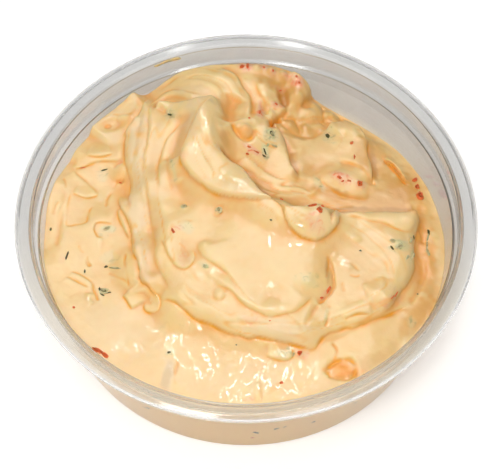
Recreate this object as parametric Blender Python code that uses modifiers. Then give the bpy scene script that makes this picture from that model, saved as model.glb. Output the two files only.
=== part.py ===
# A round clear deli tub, heaped with soft cream cheese that holds bits of red pepper and green onion.
# Lengths are millimetres, turned into metres by MM. +Z is up and the tub stands on Z = 0.
# Heights inside the tub are levels: millimetres above the rim line, the inner edge of the tub's mouth.

import bmesh
import bpy
import numpy as np

MM = 0.001

# Tub
RIM_LINE_HEIGHT = 33.5
RIM_LINE_RADIUS = 53.8
RIM_OUTER_RADIUS = 58.5
WALL = 0.6
FLOOR = 0.8
SHOULDER_DROP = 5.1
SHOULDER_RADIUS = 52.35
BASE_RADIUS = 47.5
BASE_CORNER = 2.0
TUB_STEPS = 56

# Section of the tub's rim: radius past the rim line, or short of the outer radius, and level
MOUTH = [(-0.3, -4.7), (0, 0), (0.5, 0.25), (1.6, 0.4)]
ROLLED_EDGE = [(1.9, 0.25), (0.6, -0.15), (0, -0.8), (0.2, -1.5), (0.7, -1.9), (0.8, -1.2), (1.4, -0.6)]
RIM_UNDERSIDE = [(1.6, -0.3), (0.6, -1.0), (0.3, -5.1)]

# Cream cheese
GAP = 0.35
GRID_STEPS = 60
EDGE_POWER = 8
SIDE_RINGS = 2
FOOT_BEVEL = 1.2
FLOOR_INSET = 1.6
WALL_SPREAD = 3.0
CURVE_STEPS = 6
END_TAPER = 0.12

# Where the cream cheese meets the wall: degrees round from +X, level
WALL_LEVELS = [
    (-180, -9.5), (-135, -8.3), (-90, -7.0), (-45, -10.0), (0, -12.5), (40, -13.7),
    (66, -15.5), (71, -11.0), (76, -6.5), (108, -5.8), (119, -9.5), (128, -6.0),
    (144, -9.5), (180, -9.5),
]

# Spot heights of the broad form, by region: how far each spot reaches, then x, y, level
SPOTS = {
    "left shelf": (6.0, [(-44, 14, -9.3), (-35, 33, -7.5), (-36, 2, -8.0), (-38, -18, -8.5),
                         (-30, -30, -8.0)]),
    "front strip": (6.0, [(-14, -38, -7.0), (18, -40, -7.4), (38, -28, -9.0)]),
    "left flow": (4.0, [(-25, 24, -5.0), (-25, -12, -5.2), (-20, 8, -3.2), (-19, 28, -3.2),
                        (-14, -22, -3.5)]),
    "big lobe": (5.0, [(-12, -2, -1.4), (11, -14, -0.2), (-4, -18, -1.5), (14, -29, -4.0)]),
    "right lobe": (5.0, [(27, -7, -2.8), (35, -8, -4.5), (28, -17, -3.8), (27, -25, -5.0)]),
    "right edge": (4.0, [(47, 0, -12.0), (46, -10, -12.0)]),
    "peak and ribbon": (3.5, [(-10, 31, 4.0), (-12, 22, 2.5), (-11, 14, 1.0), (-3, 10, 1.7),
                              (6, 3, 1.4), (15, -1, 1.0)]),
    "back dome": (4.0, [(-22, 43, -6.5), (-13, 40, -1.0), (-3, 45, -3.3), (-3, 37, -3.0),
                        (6, 44, -5.0), (11, 37, -9.0)]),
    "behind the ribbon": (4.0, [(3, 29, -2.5), (1, 21, -4.5), (8, 14, -7.5), (14, 29, -9.5)]),
    "right valley": (4.5, [(18, 38, -12.5), (27, 28, -9.8), (37, 27, -13.0), (18, 12, -9.8),
                           (28, 11, -10.3), (38, 11, -11.6)]),
    "light strip": (3.0, [(26, 3, -4.5), (34, 4, -5.5), (41, 4, -7.5)]),
}

# Folds, each a step along a curve. The side on the left of its travel stands higher, by rise, and
# the other lower, by drop. The lip is half the step's width, and both sides die away over reach.
FOLDS = {
    "valley edge": dict(path=[(43.5, 6), (34, 4.5), (24, 2)], rise=2.6, drop=2.6, lip=1.6, reach=4),
    "ribbon back": dict(path=[(24, 2), (22, 5), (18, 2.5), (11.5, 0.5), (4, 5.5), (-1.5, 14), (-7, 22)],
                        rise=2.2, drop=2.6, lip=1.6, reach=4),
    "ribbon foot": dict(path=[(-17.5, 22), (-15.5, 14), (-7, 6.5), (4, 3), (9, -0.5), (12, -5),
                              (17.5, -7), (22.5, -2.5), (24, 2)],
                        rise=1.4, drop=0.4, lip=1.6, reach=5),
    "strip foot": dict(path=[(23.5, -1), (30.5, 2), (37.5, 2), (42, 1.5)],
                       rise=0.9, drop=0.2, lip=1.6, reach=3),
    "left edge": dict(path=[(-26, 42), (-29, 34.5), (-32.5, 25), (-30, 17), (-31, 8), (-28.5, 0),
                            (-29, -6.5), (-27, -13), (-21.5, -21)],
                      rise=1.5, drop=0.4, lip=1.6, reach=4),
    "mound foot": dict(path=[(-22, -20.5), (-16, -23.5), (-11.5, -28), (-1.5, -32), (3.5, -33.5),
                             (11, -34), (18, -35)],
                       rise=2.6, drop=0.5, lip=2.2, reach=6),
    "right foot": dict(path=[(17.5, -34), (22.5, -30), (26.5, -29), (35, -23.5), (41.5, -20.5)],
                       rise=1.8, drop=0.5, lip=1.8, reach=5),
    "right lobe edge": dict(path=[(33, -25), (39, -17), (42, -9), (41, -2.5), (44, 4), (44.5, 9)],
                            rise=1.8, drop=1.2, lip=2.2, reach=5),
    "sheet edge": dict(path=[(14, 18.5), (12, 21.5), (11, 28), (8, 33.5)],
                       rise=1.0, drop=0.8, lip=1.6, reach=4),
    "tab edge": dict(path=[(34, 16.5), (32.5, 24), (31.5, 31.5), (29, 37.5), (23, 37), (19, 33)],
                     rise=1.6, drop=0.5, lip=1.6, reach=4),
    "top sheet": dict(path=[(-6.5, 38), (-12, 35.5), (-18, 37), (-23, 36)],
                      rise=1.2, drop=1.0, lip=1.6, reach=3.5),
    "dome arc": dict(path=[(1, 33), (1, 38.5), (-1.5, 45.5), (-6.5, 51)],
                     rise=0.8, drop=0.7, lip=1.6, reach=4),
    "flow line": dict(path=[(-24, 37), (-25.5, 26), (-26, 12), (-24, 0), (-23, -11), (-18, -20.5)],
                      rise=0.8, drop=0.3, lip=1.6, reach=3),
    "lobe foot": dict(path=[(-8, -19), (-3, -23), (3, -28), (12, -27), (17, -22)],
                      rise=0.9, drop=0.2, lip=2.2, reach=4),
}

# Lumps and hollows: x, y, half-length, half-width, turn in degrees, height
LUMPS = {
    "peak": (-10.5, 33, 2.6, 5.0, 20, 1.4),
    "hollow": (-3.5, 33, 2.6, 4.6, -10, -3.0),
    "bubble dent": (-1.0, 27, 2.8, 2.0, -20, -1.2),
    "pit": (24, -41, 4.0, 2.3, 8, -1.4),
    "back lump": (5, 43.5, 2.8, 3.0, 0, 1.2),
    "pale lump": (7, 37, 2.2, 2.4, 0, 1.0),
    "red lump": (25.5, 18.5, 5.5, 4.2, 0, 1.8),
    "tongue": (17, -1.5, 3.5, 3.0, 0, 0.6),
}

# Bits of pepper and green onion large enough to stand out: x, y, length, width, turn, sunk
PEPPER_BITS = [
    (-36, -34, 5.0, 2.4, -38, 0.2), (-0.5, 49, 3.4, 2.0, -20, 0.4), (5, 49.5, 1.8, 1.4, 0, 0.3),
    (18.5, 2.5, 3.0, 2.0, 20, 0.5), (3, 21.5, 3.6, 1.2, -25, 0.3), (45.5, 15, 2.2, 1.6, -60, 0.3),
    (12.5, -36, 1.6, 1.4, 0, 0.2), (37.5, -18.5, 3.0, 1.2, 45, 0.3), (20.5, -22, 3.6, 1.4, 60, 0.4),
    (24, 19, 2.4, 1.8, 0, 0.4),
]
ONION_BITS = [
    (-35.5, -17, 3.0, 1.8, -15, 0.3), (38.5, -5.5, 3.2, 1.6, 35, 0.3), (46.5, 1, 1.2, 4.6, 5, 0.3),
    (-33.5, -10.5, 3.8, 0.9, -8, 0.3), (6.5, 29, 3.2, 2.0, -40, 0.4), (-35, 1.8, 2.0, 1.8, 0, 0.3),
]
BIT_THICKNESS = 1.4

PLASTIC_COLOR = (0.82, 0.82, 0.80, 0.3)
CHEESE_COLOR = (0.86, 0.58, 0.31, 1.0)


def inner_radius(level):
    """The tub's inner radius below the shoulder."""
    taper = (SHOULDER_RADIUS + WALL - BASE_RADIUS) / (RIM_LINE_HEIGHT - SHOULDER_DROP)
    return SHOULDER_RADIUS + taper * (np.minimum(level, -SHOULDER_DROP) + SHOULDER_DROP)


def smooth_step(t):
    t = np.clip(t, 0, 1)
    return t**2 * (3 - 2 * t)


def smooth_curve(path):
    """Points along a Catmull-Rom curve through the path's points."""
    points = np.array(path, float)
    ends = np.vstack([2 * points[0] - points[1], points, 2 * points[-1] - points[-2]])
    t = np.linspace(0, 1, CURVE_STEPS, endpoint=False)[:, None]
    spans = [
        0.5 * (2 * b + (c - a) * t + (2 * a - 5 * b + 4 * c - d) * t**2 + (3 * b - a - 3 * c + d) * t**3)
        for a, b, c, d in zip(ends[:-3], ends[1:-2], ends[2:-1], ends[3:])
    ]
    return np.vstack([*spans, points[-1:]])


def beside(x, y, path):
    """For each point, its distance to the path, positive on the left, and its share of the way along."""
    curve = smooth_curve(path)
    steps = np.diff(curve, axis=0)
    lengths = np.hypot(*steps.T)
    starts = np.concatenate([[0], np.cumsum(lengths)])
    nearest = np.full(x.shape, np.inf)
    side = np.ones(x.shape)
    share = np.zeros(x.shape)
    for start, step, length, run in zip(curve, steps, lengths, starts):
        away_x, away_y = x - start[0], y - start[1]
        t = np.clip((away_x * step[0] + away_y * step[1]) / length**2, 0, 1)
        distance = np.hypot(away_x - t * step[0], away_y - t * step[1])
        closer = distance < nearest
        nearest = np.where(closer, distance, nearest)
        side = np.where(closer, np.sign(step[0] * away_y - step[1] * away_x + 1e-12), side)
        share = np.where(closer, (run + t * length) / starts[-1], share)
    return side * nearest, share


def broad_level(x, y):
    """The spots' levels and the wall's, blended by nearness."""
    total = np.zeros(x.shape)
    weights = np.full(x.shape, 1e-12)
    for reach, spots in SPOTS.values():
        for spot_x, spot_y, level in spots:
            weight = np.exp(-((x - spot_x) ** 2 + (y - spot_y) ** 2) / (2 * reach**2))
            total += weight * level
            weights += weight
    inside = np.clip(SHOULDER_RADIUS - np.hypot(x, y), 0, None)
    weight = np.exp(-(inside**2) / (2 * WALL_SPREAD**2))
    around = np.degrees(np.arctan2(y, x))
    total += weight * np.interp(around, *zip(*WALL_LEVELS))
    weights += weight
    return total / weights


def fold_level(x, y, path, rise, drop, lip, reach):
    """A smooth step, twice the lip wide, that dies away on both sides and at both ends of the path."""
    side, share = beside(x, y, path)
    high = rise * np.exp(-((np.clip(side - lip, 0, None) / reach) ** 2))
    low = -drop * np.exp(-((np.clip(-side - lip, 0, None) / reach) ** 2))
    climb = smooth_step((side + lip) / (2 * lip))
    taper = smooth_step(share / END_TAPER) * smooth_step((1 - share) / END_TAPER)
    return (low + (high - low) * climb) * taper


def lump_level(x, y, lump_x, lump_y, half_length, half_width, turn, height):
    """A smooth oval lump, or a flat-floored hollow where the height is negative."""
    angle = np.radians(turn)
    along = ((x - lump_x) * np.cos(angle) + (y - lump_y) * np.sin(angle)) / half_length
    across = ((y - lump_y) * np.cos(angle) - (x - lump_x) * np.sin(angle)) / half_width
    radius = np.hypot(along, across)
    return height * np.exp(-(radius**4) if height < 0 else -1.2 * radius**2)


def surface_level(x, y):
    """The cream cheese's top, as a level at each point."""
    level = broad_level(x, y)
    for fold in FOLDS.values():
        level += fold_level(x, y, **fold)
    for lump in LUMPS.values():
        level += lump_level(x, y, *lump)
    return level


def arc(centre, radius, start, end, steps):
    angles = np.radians(np.linspace(start, end, steps))
    return [(centre[0] + radius * np.cos(a), centre[1] + radius * np.sin(a)) for a in angles]


def new_material(name, color, roughness, transmission=0.0):
    material = bpy.data.materials.new(name)
    material.use_nodes = True
    shader = material.node_tree.nodes["Principled BSDF"]
    shader.inputs["Base Color"].default_value = color
    shader.inputs["Roughness"].default_value = roughness
    shader.inputs["Metallic"].default_value = 0.0
    shader.inputs["Transmission Weight"].default_value = transmission
    return material


def new_object(name, mesh, collection, material):
    obj = bpy.data.objects.new(name, mesh)
    mesh.materials.append(material)
    mesh.shade_smooth()
    mesh.set_sharp_from_angle(angle=np.radians(40))
    collection.objects.link(obj)
    return obj


def tub_profile():
    """Half-section of the tub from the middle of its floor, up the inside, over the rim, and down."""
    taper = (SHOULDER_RADIUS + WALL - BASE_RADIUS) / (RIM_LINE_HEIGHT - SHOULDER_DROP)
    floor = FLOOR - RIM_LINE_HEIGHT
    corner = BASE_CORNER - WALL
    foot_radius = inner_radius(floor + corner) - corner
    points = [(0, floor)]
    points += arc((foot_radius, floor + corner), corner, -90, 0, 4)
    points += [(SHOULDER_RADIUS, -SHOULDER_DROP)]
    points += [(RIM_LINE_RADIUS + out, level) for out, level in MOUTH]
    points += [(RIM_OUTER_RADIUS - inwards, level) for inwards, level in ROLLED_EDGE]
    points += [(RIM_LINE_RADIUS + out, level) for out, level in RIM_UNDERSIDE]
    points += [(SHOULDER_RADIUS + WALL, -SHOULDER_DROP - WALL)]
    base = -RIM_LINE_HEIGHT
    wall_foot = BASE_RADIUS + taper * BASE_CORNER
    points += arc((wall_foot - BASE_CORNER, base + BASE_CORNER), BASE_CORNER, 0, -90, 5)
    points += [(0, base)]
    return [(radius * MM, (level + RIM_LINE_HEIGHT) * MM) for radius, level in points]


def build_tub(collection):
    profile = tub_profile()
    mesh = bpy.data.meshes.new("tub")
    corners = [(radius, 0, height) for radius, height in profile]
    mesh.from_pydata(corners, [(i, i + 1) for i in range(len(corners) - 1)], [])
    tub = new_object("tub", mesh, collection, new_material("clear_plastic", PLASTIC_COLOR, 0.08, 0.9))
    screw = tub.modifiers.new("turn", "SCREW")
    screw.axis = "Z"
    screw.steps = TUB_STEPS
    screw.render_steps = TUB_STEPS
    screw.use_merge_vertices = True
    screw.merge_threshold = 0.0001
    screw.use_smooth_shade = True


def build_cheese(collection):
    """A square grid pulled into a disc and shaped on top, then drawn down the wall and closed."""
    shape = bmesh.new()
    bmesh.ops.create_grid(shape, x_segments=GRID_STEPS, y_segments=GRID_STEPS, size=1)
    u, v = np.array([vert.co[:2] for vert in shape.verts]).T
    unit_x = u * np.sqrt(1 - v**2 / 2)
    unit_y = v * np.sqrt(1 - u**2 / 2)
    reach = SHOULDER_RADIUS - GAP
    level = surface_level(unit_x * reach, unit_y * reach)
    edge = np.hypot(unit_x, unit_y)
    radius = reach + edge**EDGE_POWER * (inner_radius(level) - SHOULDER_RADIUS)
    for vert, x, y, z in zip(shape.verts, unit_x * radius, unit_y * radius, level):
        vert.co = (x, y, z)

    foot_level = FLOOR - RIM_LINE_HEIGHT + BASE_CORNER
    floor_level = FLOOR - RIM_LINE_HEIGHT + GAP
    rim = [e for e in shape.edges if e.is_boundary]
    for ring in range(SIDE_RINGS + 2):
        made = bmesh.ops.extrude_edge_only(shape, edges=rim)["geom"]
        rim = [e for e in made if isinstance(e, bmesh.types.BMEdge)]
        for vert in (e for e in made if isinstance(e, bmesh.types.BMVert)):
            share = 1 / (SIDE_RINGS - ring) if ring < SIDE_RINGS else 1
            lower = foot_level if ring < SIDE_RINGS else foot_level - FOOT_BEVEL
            vert.co.z += share * (lower - vert.co.z)
            wanted = inner_radius(vert.co.z) - GAP
            if ring > SIDE_RINGS:
                vert.co.z = floor_level
                wanted -= FLOOR_INSET
            vert.co.xy *= wanted / vert.co.xy.length
    bmesh.ops.contextual_create(shape, geom=rim)
    bmesh.ops.recalc_face_normals(shape, faces=shape.faces)
    for vert in shape.verts:
        vert.co = (vert.co.x * MM, vert.co.y * MM, (vert.co.z + RIM_LINE_HEIGHT) * MM)
    mesh = bpy.data.meshes.new("cream_cheese")
    shape.to_mesh(mesh)
    shape.free()
    return new_object("cream_cheese", mesh, collection, new_material("cream", CHEESE_COLOR, 0.35))


def add_bit(collection, x, y, length, width, turn, sunk):
    """One bit, an oval pebble lying on the surface."""
    mesh = bpy.data.meshes.new("bit")
    shape = bmesh.new()
    bmesh.ops.create_icosphere(shape, subdivisions=1, radius=0.5)
    bmesh.ops.scale(shape, vec=(length * MM, width * MM, BIT_THICKNESS * MM), verts=shape.verts)
    shape.to_mesh(mesh)
    shape.free()
    bit = bpy.data.objects.new("bit", mesh)
    level = float(surface_level(np.array([float(x)]), np.array([float(y)]))[0])
    bit.location = (x * MM, y * MM, (level - sunk + RIM_LINE_HEIGHT) * MM)
    bit.rotation_euler.z = np.radians(turn)
    collection.objects.link(bit)


def fuse_bits(cheese, bits):
    """Joins the bits to the cream cheese, applies the result, and removes them."""
    union = cheese.modifiers.new("bits", "BOOLEAN")
    union.operation = "UNION"
    union.operand_type = "COLLECTION"
    union.collection = bits
    union.solver = "EXACT"
    graph = bpy.context.evaluated_depsgraph_get()
    fused = bpy.data.meshes.new_from_object(cheese.evaluated_get(graph))
    cheese.modifiers.clear()
    cheese.data = fused
    for bit in list(bits.objects):
        bpy.data.objects.remove(bit)


def main():
    for obj in list(bpy.data.objects):
        bpy.data.objects.remove(obj)
    scene = bpy.context.scene.collection
    parts = bpy.data.collections.new("cream_cheese_tub")
    bits = bpy.data.collections.new("fused_bits")
    scene.children.link(parts)
    scene.children.link(bits)
    build_tub(parts)
    cheese = build_cheese(parts)
    for bit in PEPPER_BITS + ONION_BITS:
        add_bit(bits, *bit)
    fuse_bits(cheese, bits)


main()
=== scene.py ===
# An open clear deli tub, heaped with soft orange cream cheese that holds bits of pepper, herb and onion
import math
import bpy
import numpy as np
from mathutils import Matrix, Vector


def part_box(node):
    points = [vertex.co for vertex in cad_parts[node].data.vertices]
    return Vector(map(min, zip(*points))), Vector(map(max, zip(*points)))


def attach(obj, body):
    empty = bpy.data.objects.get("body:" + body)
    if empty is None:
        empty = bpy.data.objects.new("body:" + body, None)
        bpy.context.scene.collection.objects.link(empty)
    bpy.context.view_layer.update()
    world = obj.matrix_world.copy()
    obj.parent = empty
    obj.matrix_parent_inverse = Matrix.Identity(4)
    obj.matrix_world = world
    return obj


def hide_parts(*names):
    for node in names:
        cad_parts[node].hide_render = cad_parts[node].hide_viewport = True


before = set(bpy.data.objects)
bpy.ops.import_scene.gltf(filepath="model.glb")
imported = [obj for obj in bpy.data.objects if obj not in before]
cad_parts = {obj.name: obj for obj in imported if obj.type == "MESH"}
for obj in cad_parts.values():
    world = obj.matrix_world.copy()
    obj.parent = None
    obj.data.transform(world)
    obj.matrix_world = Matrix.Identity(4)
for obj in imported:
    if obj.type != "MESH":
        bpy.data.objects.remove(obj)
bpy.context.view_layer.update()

mm = 0.001  # every size below is in millimetres, and meshes are made in metres
pi = math.pi


# Shape helpers

def smoothStep(t):
    # 3t^2 - 2t^3, flat at both ends
    t = np.clip(t, 0, 1)
    return t * t * (3 - 2 * t)


def curveThrough(path, perSpan=8):
    # Catmull-Rom: between each two points a cubic whose slopes run parallel to the neighbours' chord
    p = np.array(path, float)
    q = np.vstack([2 * p[0] - p[1], p, 2 * p[-1] - p[-2]])
    t = np.linspace(0, 1, perSpan, endpoint=False)[:, None]
    spans = [0.5 * (2 * b + (c - a) * t + (2 * a - 5 * b + 4 * c - d) * t**2 + (3 * b - a - 3 * c + d) * t**3)
             for a, b, c, d in zip(q[:-3], q[1:-2], q[2:-1], q[3:])]
    return np.vstack([*spans, p[-1:]])


def besidePath(x, y, path):
    # distance to the nearest point of the curve, positive on its left, the unit vector towards the left
    # there, the share of the way along, and the length of the curve
    c = curveThrough(path)
    step = np.diff(c, axis=0)
    length = np.hypot(step[:, 0], step[:, 1])
    run = np.concatenate([[0], np.cumsum(length)])
    near = np.full(x.shape, 1e9)
    side, share, leftX, leftY = np.ones(x.shape), np.zeros(x.shape), np.zeros(x.shape), np.zeros(x.shape)
    onCurve = 1e-3  # nearer than this the left comes from the curve's own direction
    for (px, py), (sx, sy), l, s in zip(c, step, length, run):
        ax, ay = x - px, y - py
        t = np.clip((ax * sx + ay * sy) / (l * l), 0, 1)
        dx, dy = ax - t * sx, ay - t * sy
        d = np.hypot(dx, dy)
        closer = d < near
        sign = np.where(sx * ay - sy * ax >= 0, 1.0, -1.0)
        near = np.where(closer, d, near)
        side = np.where(closer, sign, side)
        share = np.where(closer, (s + t * l) / run[-1], share)
        tight, safe = d < onCurve, np.maximum(d, onCurve)
        leftX = np.where(closer, np.where(tight, -sy / l, sign * dx / safe), leftX)
        leftY = np.where(closer, np.where(tight, sx / l, sign * dy / safe), leftY)
    return side * near, leftX, leftY, share, run[-1]


def inOval(x, y, middleX, middleY, halfLength, halfWidth, turn):
    # x, y turned into the oval's own axes and measured in its half-sizes
    a = math.radians(turn)
    along = ((x - middleX) * math.cos(a) + (y - middleY) * math.sin(a)) / halfLength
    across = ((y - middleY) * math.cos(a) - (x - middleX) * math.sin(a)) / halfWidth
    return along, across


def softNoise(x, y, size, seed):
    # seeded random values on a square lattice of the given size, blended smoothly: hills from -1 to 1
    n = 256  # the lattice repeats after so many places
    values = np.random.default_rng(seed).uniform(-1, 1, (n, n))
    u, v = x / size + 97.3, y / size + 61.7  # away from the lattice's own origin
    iu, iv = np.floor(u).astype(int), np.floor(v).astype(int)
    fu, fv = smoothStep(u - iu), smoothStep(v - iv)
    a = values[iu % n, iv % n] * (1 - fu) + values[(iu + 1) % n, iv % n] * fu
    b = values[iu % n, (iv + 1) % n] * (1 - fu) + values[(iu + 1) % n, (iv + 1) % n] * fu
    return a * (1 - fv) + b * fv


def makeMesh(name, points, faces, material, masks=None):
    # points in millimetres from the rim line's centre, put into the mesh in metres above the table; each
    # mask becomes an attribute that the material reads
    mesh = bpy.data.meshes.new(name)
    at = (np.array(points, float) + (0, 0, tub["rimLine"])) * mm
    mesh.from_pydata(at.tolist(), [], faces)
    for key, values in (masks or {}).items():
        layer = mesh.attributes.new(key, "FLOAT", "POINT")
        layer.data.foreach_set("value", np.asarray(values, np.float32))
    mesh.materials.append(material)
    mesh.shade_smooth()
    mesh.update()
    piece = bpy.data.objects.new(name, mesh)
    bpy.context.scene.collection.objects.link(piece)
    return piece


def quadRows(rows, columns):
    # corner numbers of a grid of quads, row by row, joined round from the last column to the first
    i, j = np.meshgrid(np.arange(rows - 1), np.arange(columns), indexing="ij")
    k = (j + 1) % columns
    corners = [i * columns + j, i * columns + k, (i + 1) * columns + k, (i + 1) * columns + j]
    return np.stack(corners, -1).reshape(-1, 4)


# Material helpers

def fill(socket, value):
    # another node's output, a colour or a plain value into a socket
    if isinstance(value, bpy.types.NodeSocket):
        socket.id_data.links.new(value, socket)
    elif socket.type == "RGBA":
        socket.default_value = (*value, 1)
    else:
        socket.default_value = value


def feed(node, **inputs):
    # sockets are named with _ for a space
    for name, value in inputs.items():
        fill(node.inputs[name.replace("_", " ")], value)
    return node


def newMaterial(name, **inputs):
    material = bpy.data.materials.new(name)
    material.use_nodes = True
    tree = material.node_tree
    return material, tree, feed(tree.nodes["Principled BSDF"], **inputs)


def calc(tree, operation, *values, clamp=False):
    node = tree.nodes.new("ShaderNodeMath")
    node.operation, node.use_clamp = operation, clamp
    for socket, value in zip(node.inputs, values):
        fill(socket, value)
    return node.outputs[0]


def above(tree, value, threshold, steepness):
    # (value - threshold) x steepness, kept between 0 and 1
    return calc(tree, "MULTIPLY", calc(tree, "SUBTRACT", value, threshold), steepness, clamp=True)


def mixColors(tree, factor, a, b):
    node = tree.nodes.new("ShaderNodeMix")
    node.data_type = "RGBA"
    for index, value in ((0, factor), (6, a), (7, b)):
        fill(node.inputs[index], value)
    return node.outputs[2]


def maskFrom(tree, name):
    node = tree.nodes.new("ShaderNodeAttribute")
    node.attribute_name = name
    return node.outputs["Fac"]


def moistGroup():
    # the patterns of a moist surface: a normal bumped by ripples, three noises (slow, fine and fleck), and
    # loops, the glints' own mask
    group = bpy.data.node_groups.new("moistSurface", "ShaderNodeTree")
    for name in ("rippleSize", "rippleHeight"):
        group.interface.new_socket(name, in_out="INPUT", socket_type="NodeSocketFloat")
    group.interface.new_socket("Normal", in_out="OUTPUT", socket_type="NodeSocketVector")
    for name in ("slow", "fine", "fleck", "loops"):
        group.interface.new_socket(name, in_out="OUTPUT", socket_type="NodeSocketFloat")
    given = group.nodes.new("NodeGroupInput").outputs
    at = group.nodes.new("ShaderNodeTexCoord").outputs["Object"]

    def noise(scale, detail, roughness=0.5, distortion=0.0, place=at):
        return feed(group.nodes.new("ShaderNodeTexNoise"), Vector=place, Scale=scale, Detail=detail,
                    Roughness=roughness, Distortion=distortion).outputs[0]

    ripples = noise(calc(group, "DIVIDE", 1.0, given["rippleSize"]), 2.0, 0.45, 0.6)
    bump = feed(group.nodes.new("ShaderNodeBump"), Strength=1.0, Distance=1.0,
                Height=calc(group, "MULTIPLY", ripples, given["rippleHeight"]))
    slow, fine, fleck = noise(70.0, 2.0), noise(900.0, 3.0), noise(620.0, 1.0, distortion=0.8)

    # loops: thin wavering contour lines of a drawn-out noise (1 - |noise - 0.5| x sharpness), interrupted
    # where the slow noise is low, and specks where the fine noise is high
    drawn = feed(group.nodes.new("ShaderNodeMapping"), Vector=at, Scale=(1.3, 0.75, 1.0)).outputs[0]
    hills = noise(210.0, 2.0, 0.45, 0.6, drawn)
    sharpness, steepness = 65.0, 12.0
    fromContour = calc(group, "ABSOLUTE", calc(group, "SUBTRACT", hills, 0.5))
    contour = calc(group, "SUBTRACT", 1.0, calc(group, "MULTIPLY", fromContour, sharpness), clamp=True)
    lines = calc(group, "MULTIPLY", contour, above(group, slow, 0.34, steepness))
    loops = calc(group, "MAXIMUM", lines, above(group, fine, 0.68, steepness))
    feed(group.nodes.new("NodeGroupOutput"), Normal=bump.outputs["Normal"], slow=slow, fine=fine,
         fleck=fleck, loops=loops)
    return group


moist = moistGroup()


def placeMoist(tree, rippleSize, rippleHeight):
    node = tree.nodes.new("ShaderNodeGroup")
    node.node_tree = moist
    return feed(node, rippleSize=rippleSize * mm, rippleHeight=rippleHeight * mm).outputs


# Tub

tub = {
    "rimRadius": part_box("tub")[1].x / mm,
    "rimLine": 33.5,  # height of the mouth's inner edge, where levels are counted from
    "mouthRadius": 53.8,
    "ledgeRadius": 52.35,
    "ledgeLevel": -5.1,
    "baseRadius": 47.5,
    "wall": 0.6,
    "floor": 0.8,
    "footRound": 1.6,  # of the corner between the floor and the wall, inside
    "turns": 288,  # faces round the tub
    "wallTint": (0.585, 0.56, 0.52),
    "wallWarm": (0.74, 0.675, 0.57),  # where the cheese lights the wall: low down and in front
    # painted light: the wall lighter towards the left
    "wallLeftLight": (0.72, 0.70, 0.68),
    # painted shade: the plastic darker on the shelf at the back
    "shelfShade": (0.47, 0.46, 0.44),
    "rimTint": (0.61, 0.605, 0.59),
    "rimWarmLight": (0.84, 0.78, 0.66),  # painted light on the rim's front
    "lipHighlight": (0.86, 0.85, 0.83),  # painted highlight along the rim's outermost edge
    # painted shade: thin dark lines along the inner edges of rim and ledge
    "edgeLineShade": (0.24, 0.16, 0.035),
    "edgeWidth": 0.26,
    "frontFade": (0, -58),  # where a tint sets in and where it is full, along Y
    "backFade": (0, 30),
    "leftFade": (-36, -50),  # along X
    "lowFade": (19.5, 16.5),  # along Z
    "rimFade": (53.9, 54.3),  # from the axis
    "lipFade": (57.4, 58.0),
    "shelfBand": (52.45, 53.5),
}
# how far the wall leans out for each millimetre up, from the base to the ledge
tub["taper"] = (tub["ledgeRadius"] + tub["wall"] - tub["baseRadius"]) / (tub["rimLine"] + tub["ledgeLevel"])


def ramp(tree, value, start, end):
    # (value - start) / (end - start), kept between 0 and 1
    return calc(tree, "DIVIDE", calc(tree, "SUBTRACT", value, start * mm), (end - start) * mm, clamp=True)


def fromCorner(tree, a, b):
    # sqrt(a^2 + b^2)
    squares = [calc(tree, "MULTIPLY", side, side) for side in (a, b)]
    return calc(tree, "SQRT", calc(tree, "ADD", *squares))


def clearPlastic():
    # clear plastic, tinted zone by zone, with painted light (warmer low down and in front, lighter on the
    # left and at the outer lip) and painted shade (darker on the back shelf, and a thin dark line along the
    # inner edges of rim and ledge): each line is 1 - distance / width. Lamps shine through it.
    material, tree, shader = newMaterial("clearPlastic", Roughness=0.09, IOR=1.49, Transmission_Weight=0.88)
    at = tree.nodes.new("ShaderNodeTexCoord").outputs["Object"]
    x, y, z = feed(tree.nodes.new("ShaderNodeSeparateXYZ"), Vector=at).outputs
    radius = fromCorner(tree, x, y)
    edges = []
    for edgeRadius, edgeLevel in ((tub["mouthRadius"], 0.0), (tub["ledgeRadius"], tub["ledgeLevel"])):
        across = calc(tree, "SUBTRACT", radius, edgeRadius * mm)
        up = calc(tree, "SUBTRACT", z, (tub["rimLine"] + edgeLevel) * mm)
        edges.append(ramp(tree, fromCorner(tree, across, up), tub["edgeWidth"], 0))
    front = ramp(tree, y, *tub["frontFade"])
    warm = calc(tree, "MAXIMUM", front, ramp(tree, z, *tub["lowFade"]))
    shelfInner, shelfOuter = tub["shelfBand"]
    # painted shade: darker on the shelf, growing towards the back
    onShelf = calc(tree, "MULTIPLY", calc(tree, "GREATER_THAN", radius, shelfInner * mm),
                   calc(tree, "LESS_THAN", radius, shelfOuter * mm))
    onShelf = calc(tree, "MULTIPLY", onShelf, ramp(tree, y, *tub["backFade"]))
    wall = mixColors(tree, warm, tub["wallTint"], tub["wallWarm"])
    wall = mixColors(tree, onShelf, wall, tub["shelfShade"])
    # painted light: lighter towards the left
    wall = mixColors(tree, ramp(tree, x, *tub["leftFade"]), wall, tub["wallLeftLight"])
    # painted light: the rim warmer towards the front
    rim = mixColors(tree, front, tub["rimTint"], tub["rimWarmLight"])
    # painted highlight: lighter at the rim's outer lip
    rim = mixColors(tree, ramp(tree, radius, *tub["lipFade"]), rim, tub["lipHighlight"])
    tint = mixColors(tree, ramp(tree, radius, *tub["rimFade"]), wall, rim)
    # painted shade: the dark edge lines laid over the tint
    feed(shader, Base_Color=mixColors(tree, calc(tree, "MAXIMUM", *edges), tint, tub["edgeLineShade"]))
    clear = feed(tree.nodes.new("ShaderNodeBsdfTransparent"), Color=(0.86, 0.86, 0.85))
    mix = tree.nodes.new("ShaderNodeMixShader")
    inShadow = tree.nodes.new("ShaderNodeLightPath").outputs["Is Shadow Ray"]
    for socket, value in zip(mix.inputs, (inShadow, shader.outputs[0], clear.outputs[0])):
        fill(socket, value)
    feed(tree.nodes["Material Output"], Surface=mix.outputs[0])
    return material


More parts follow.
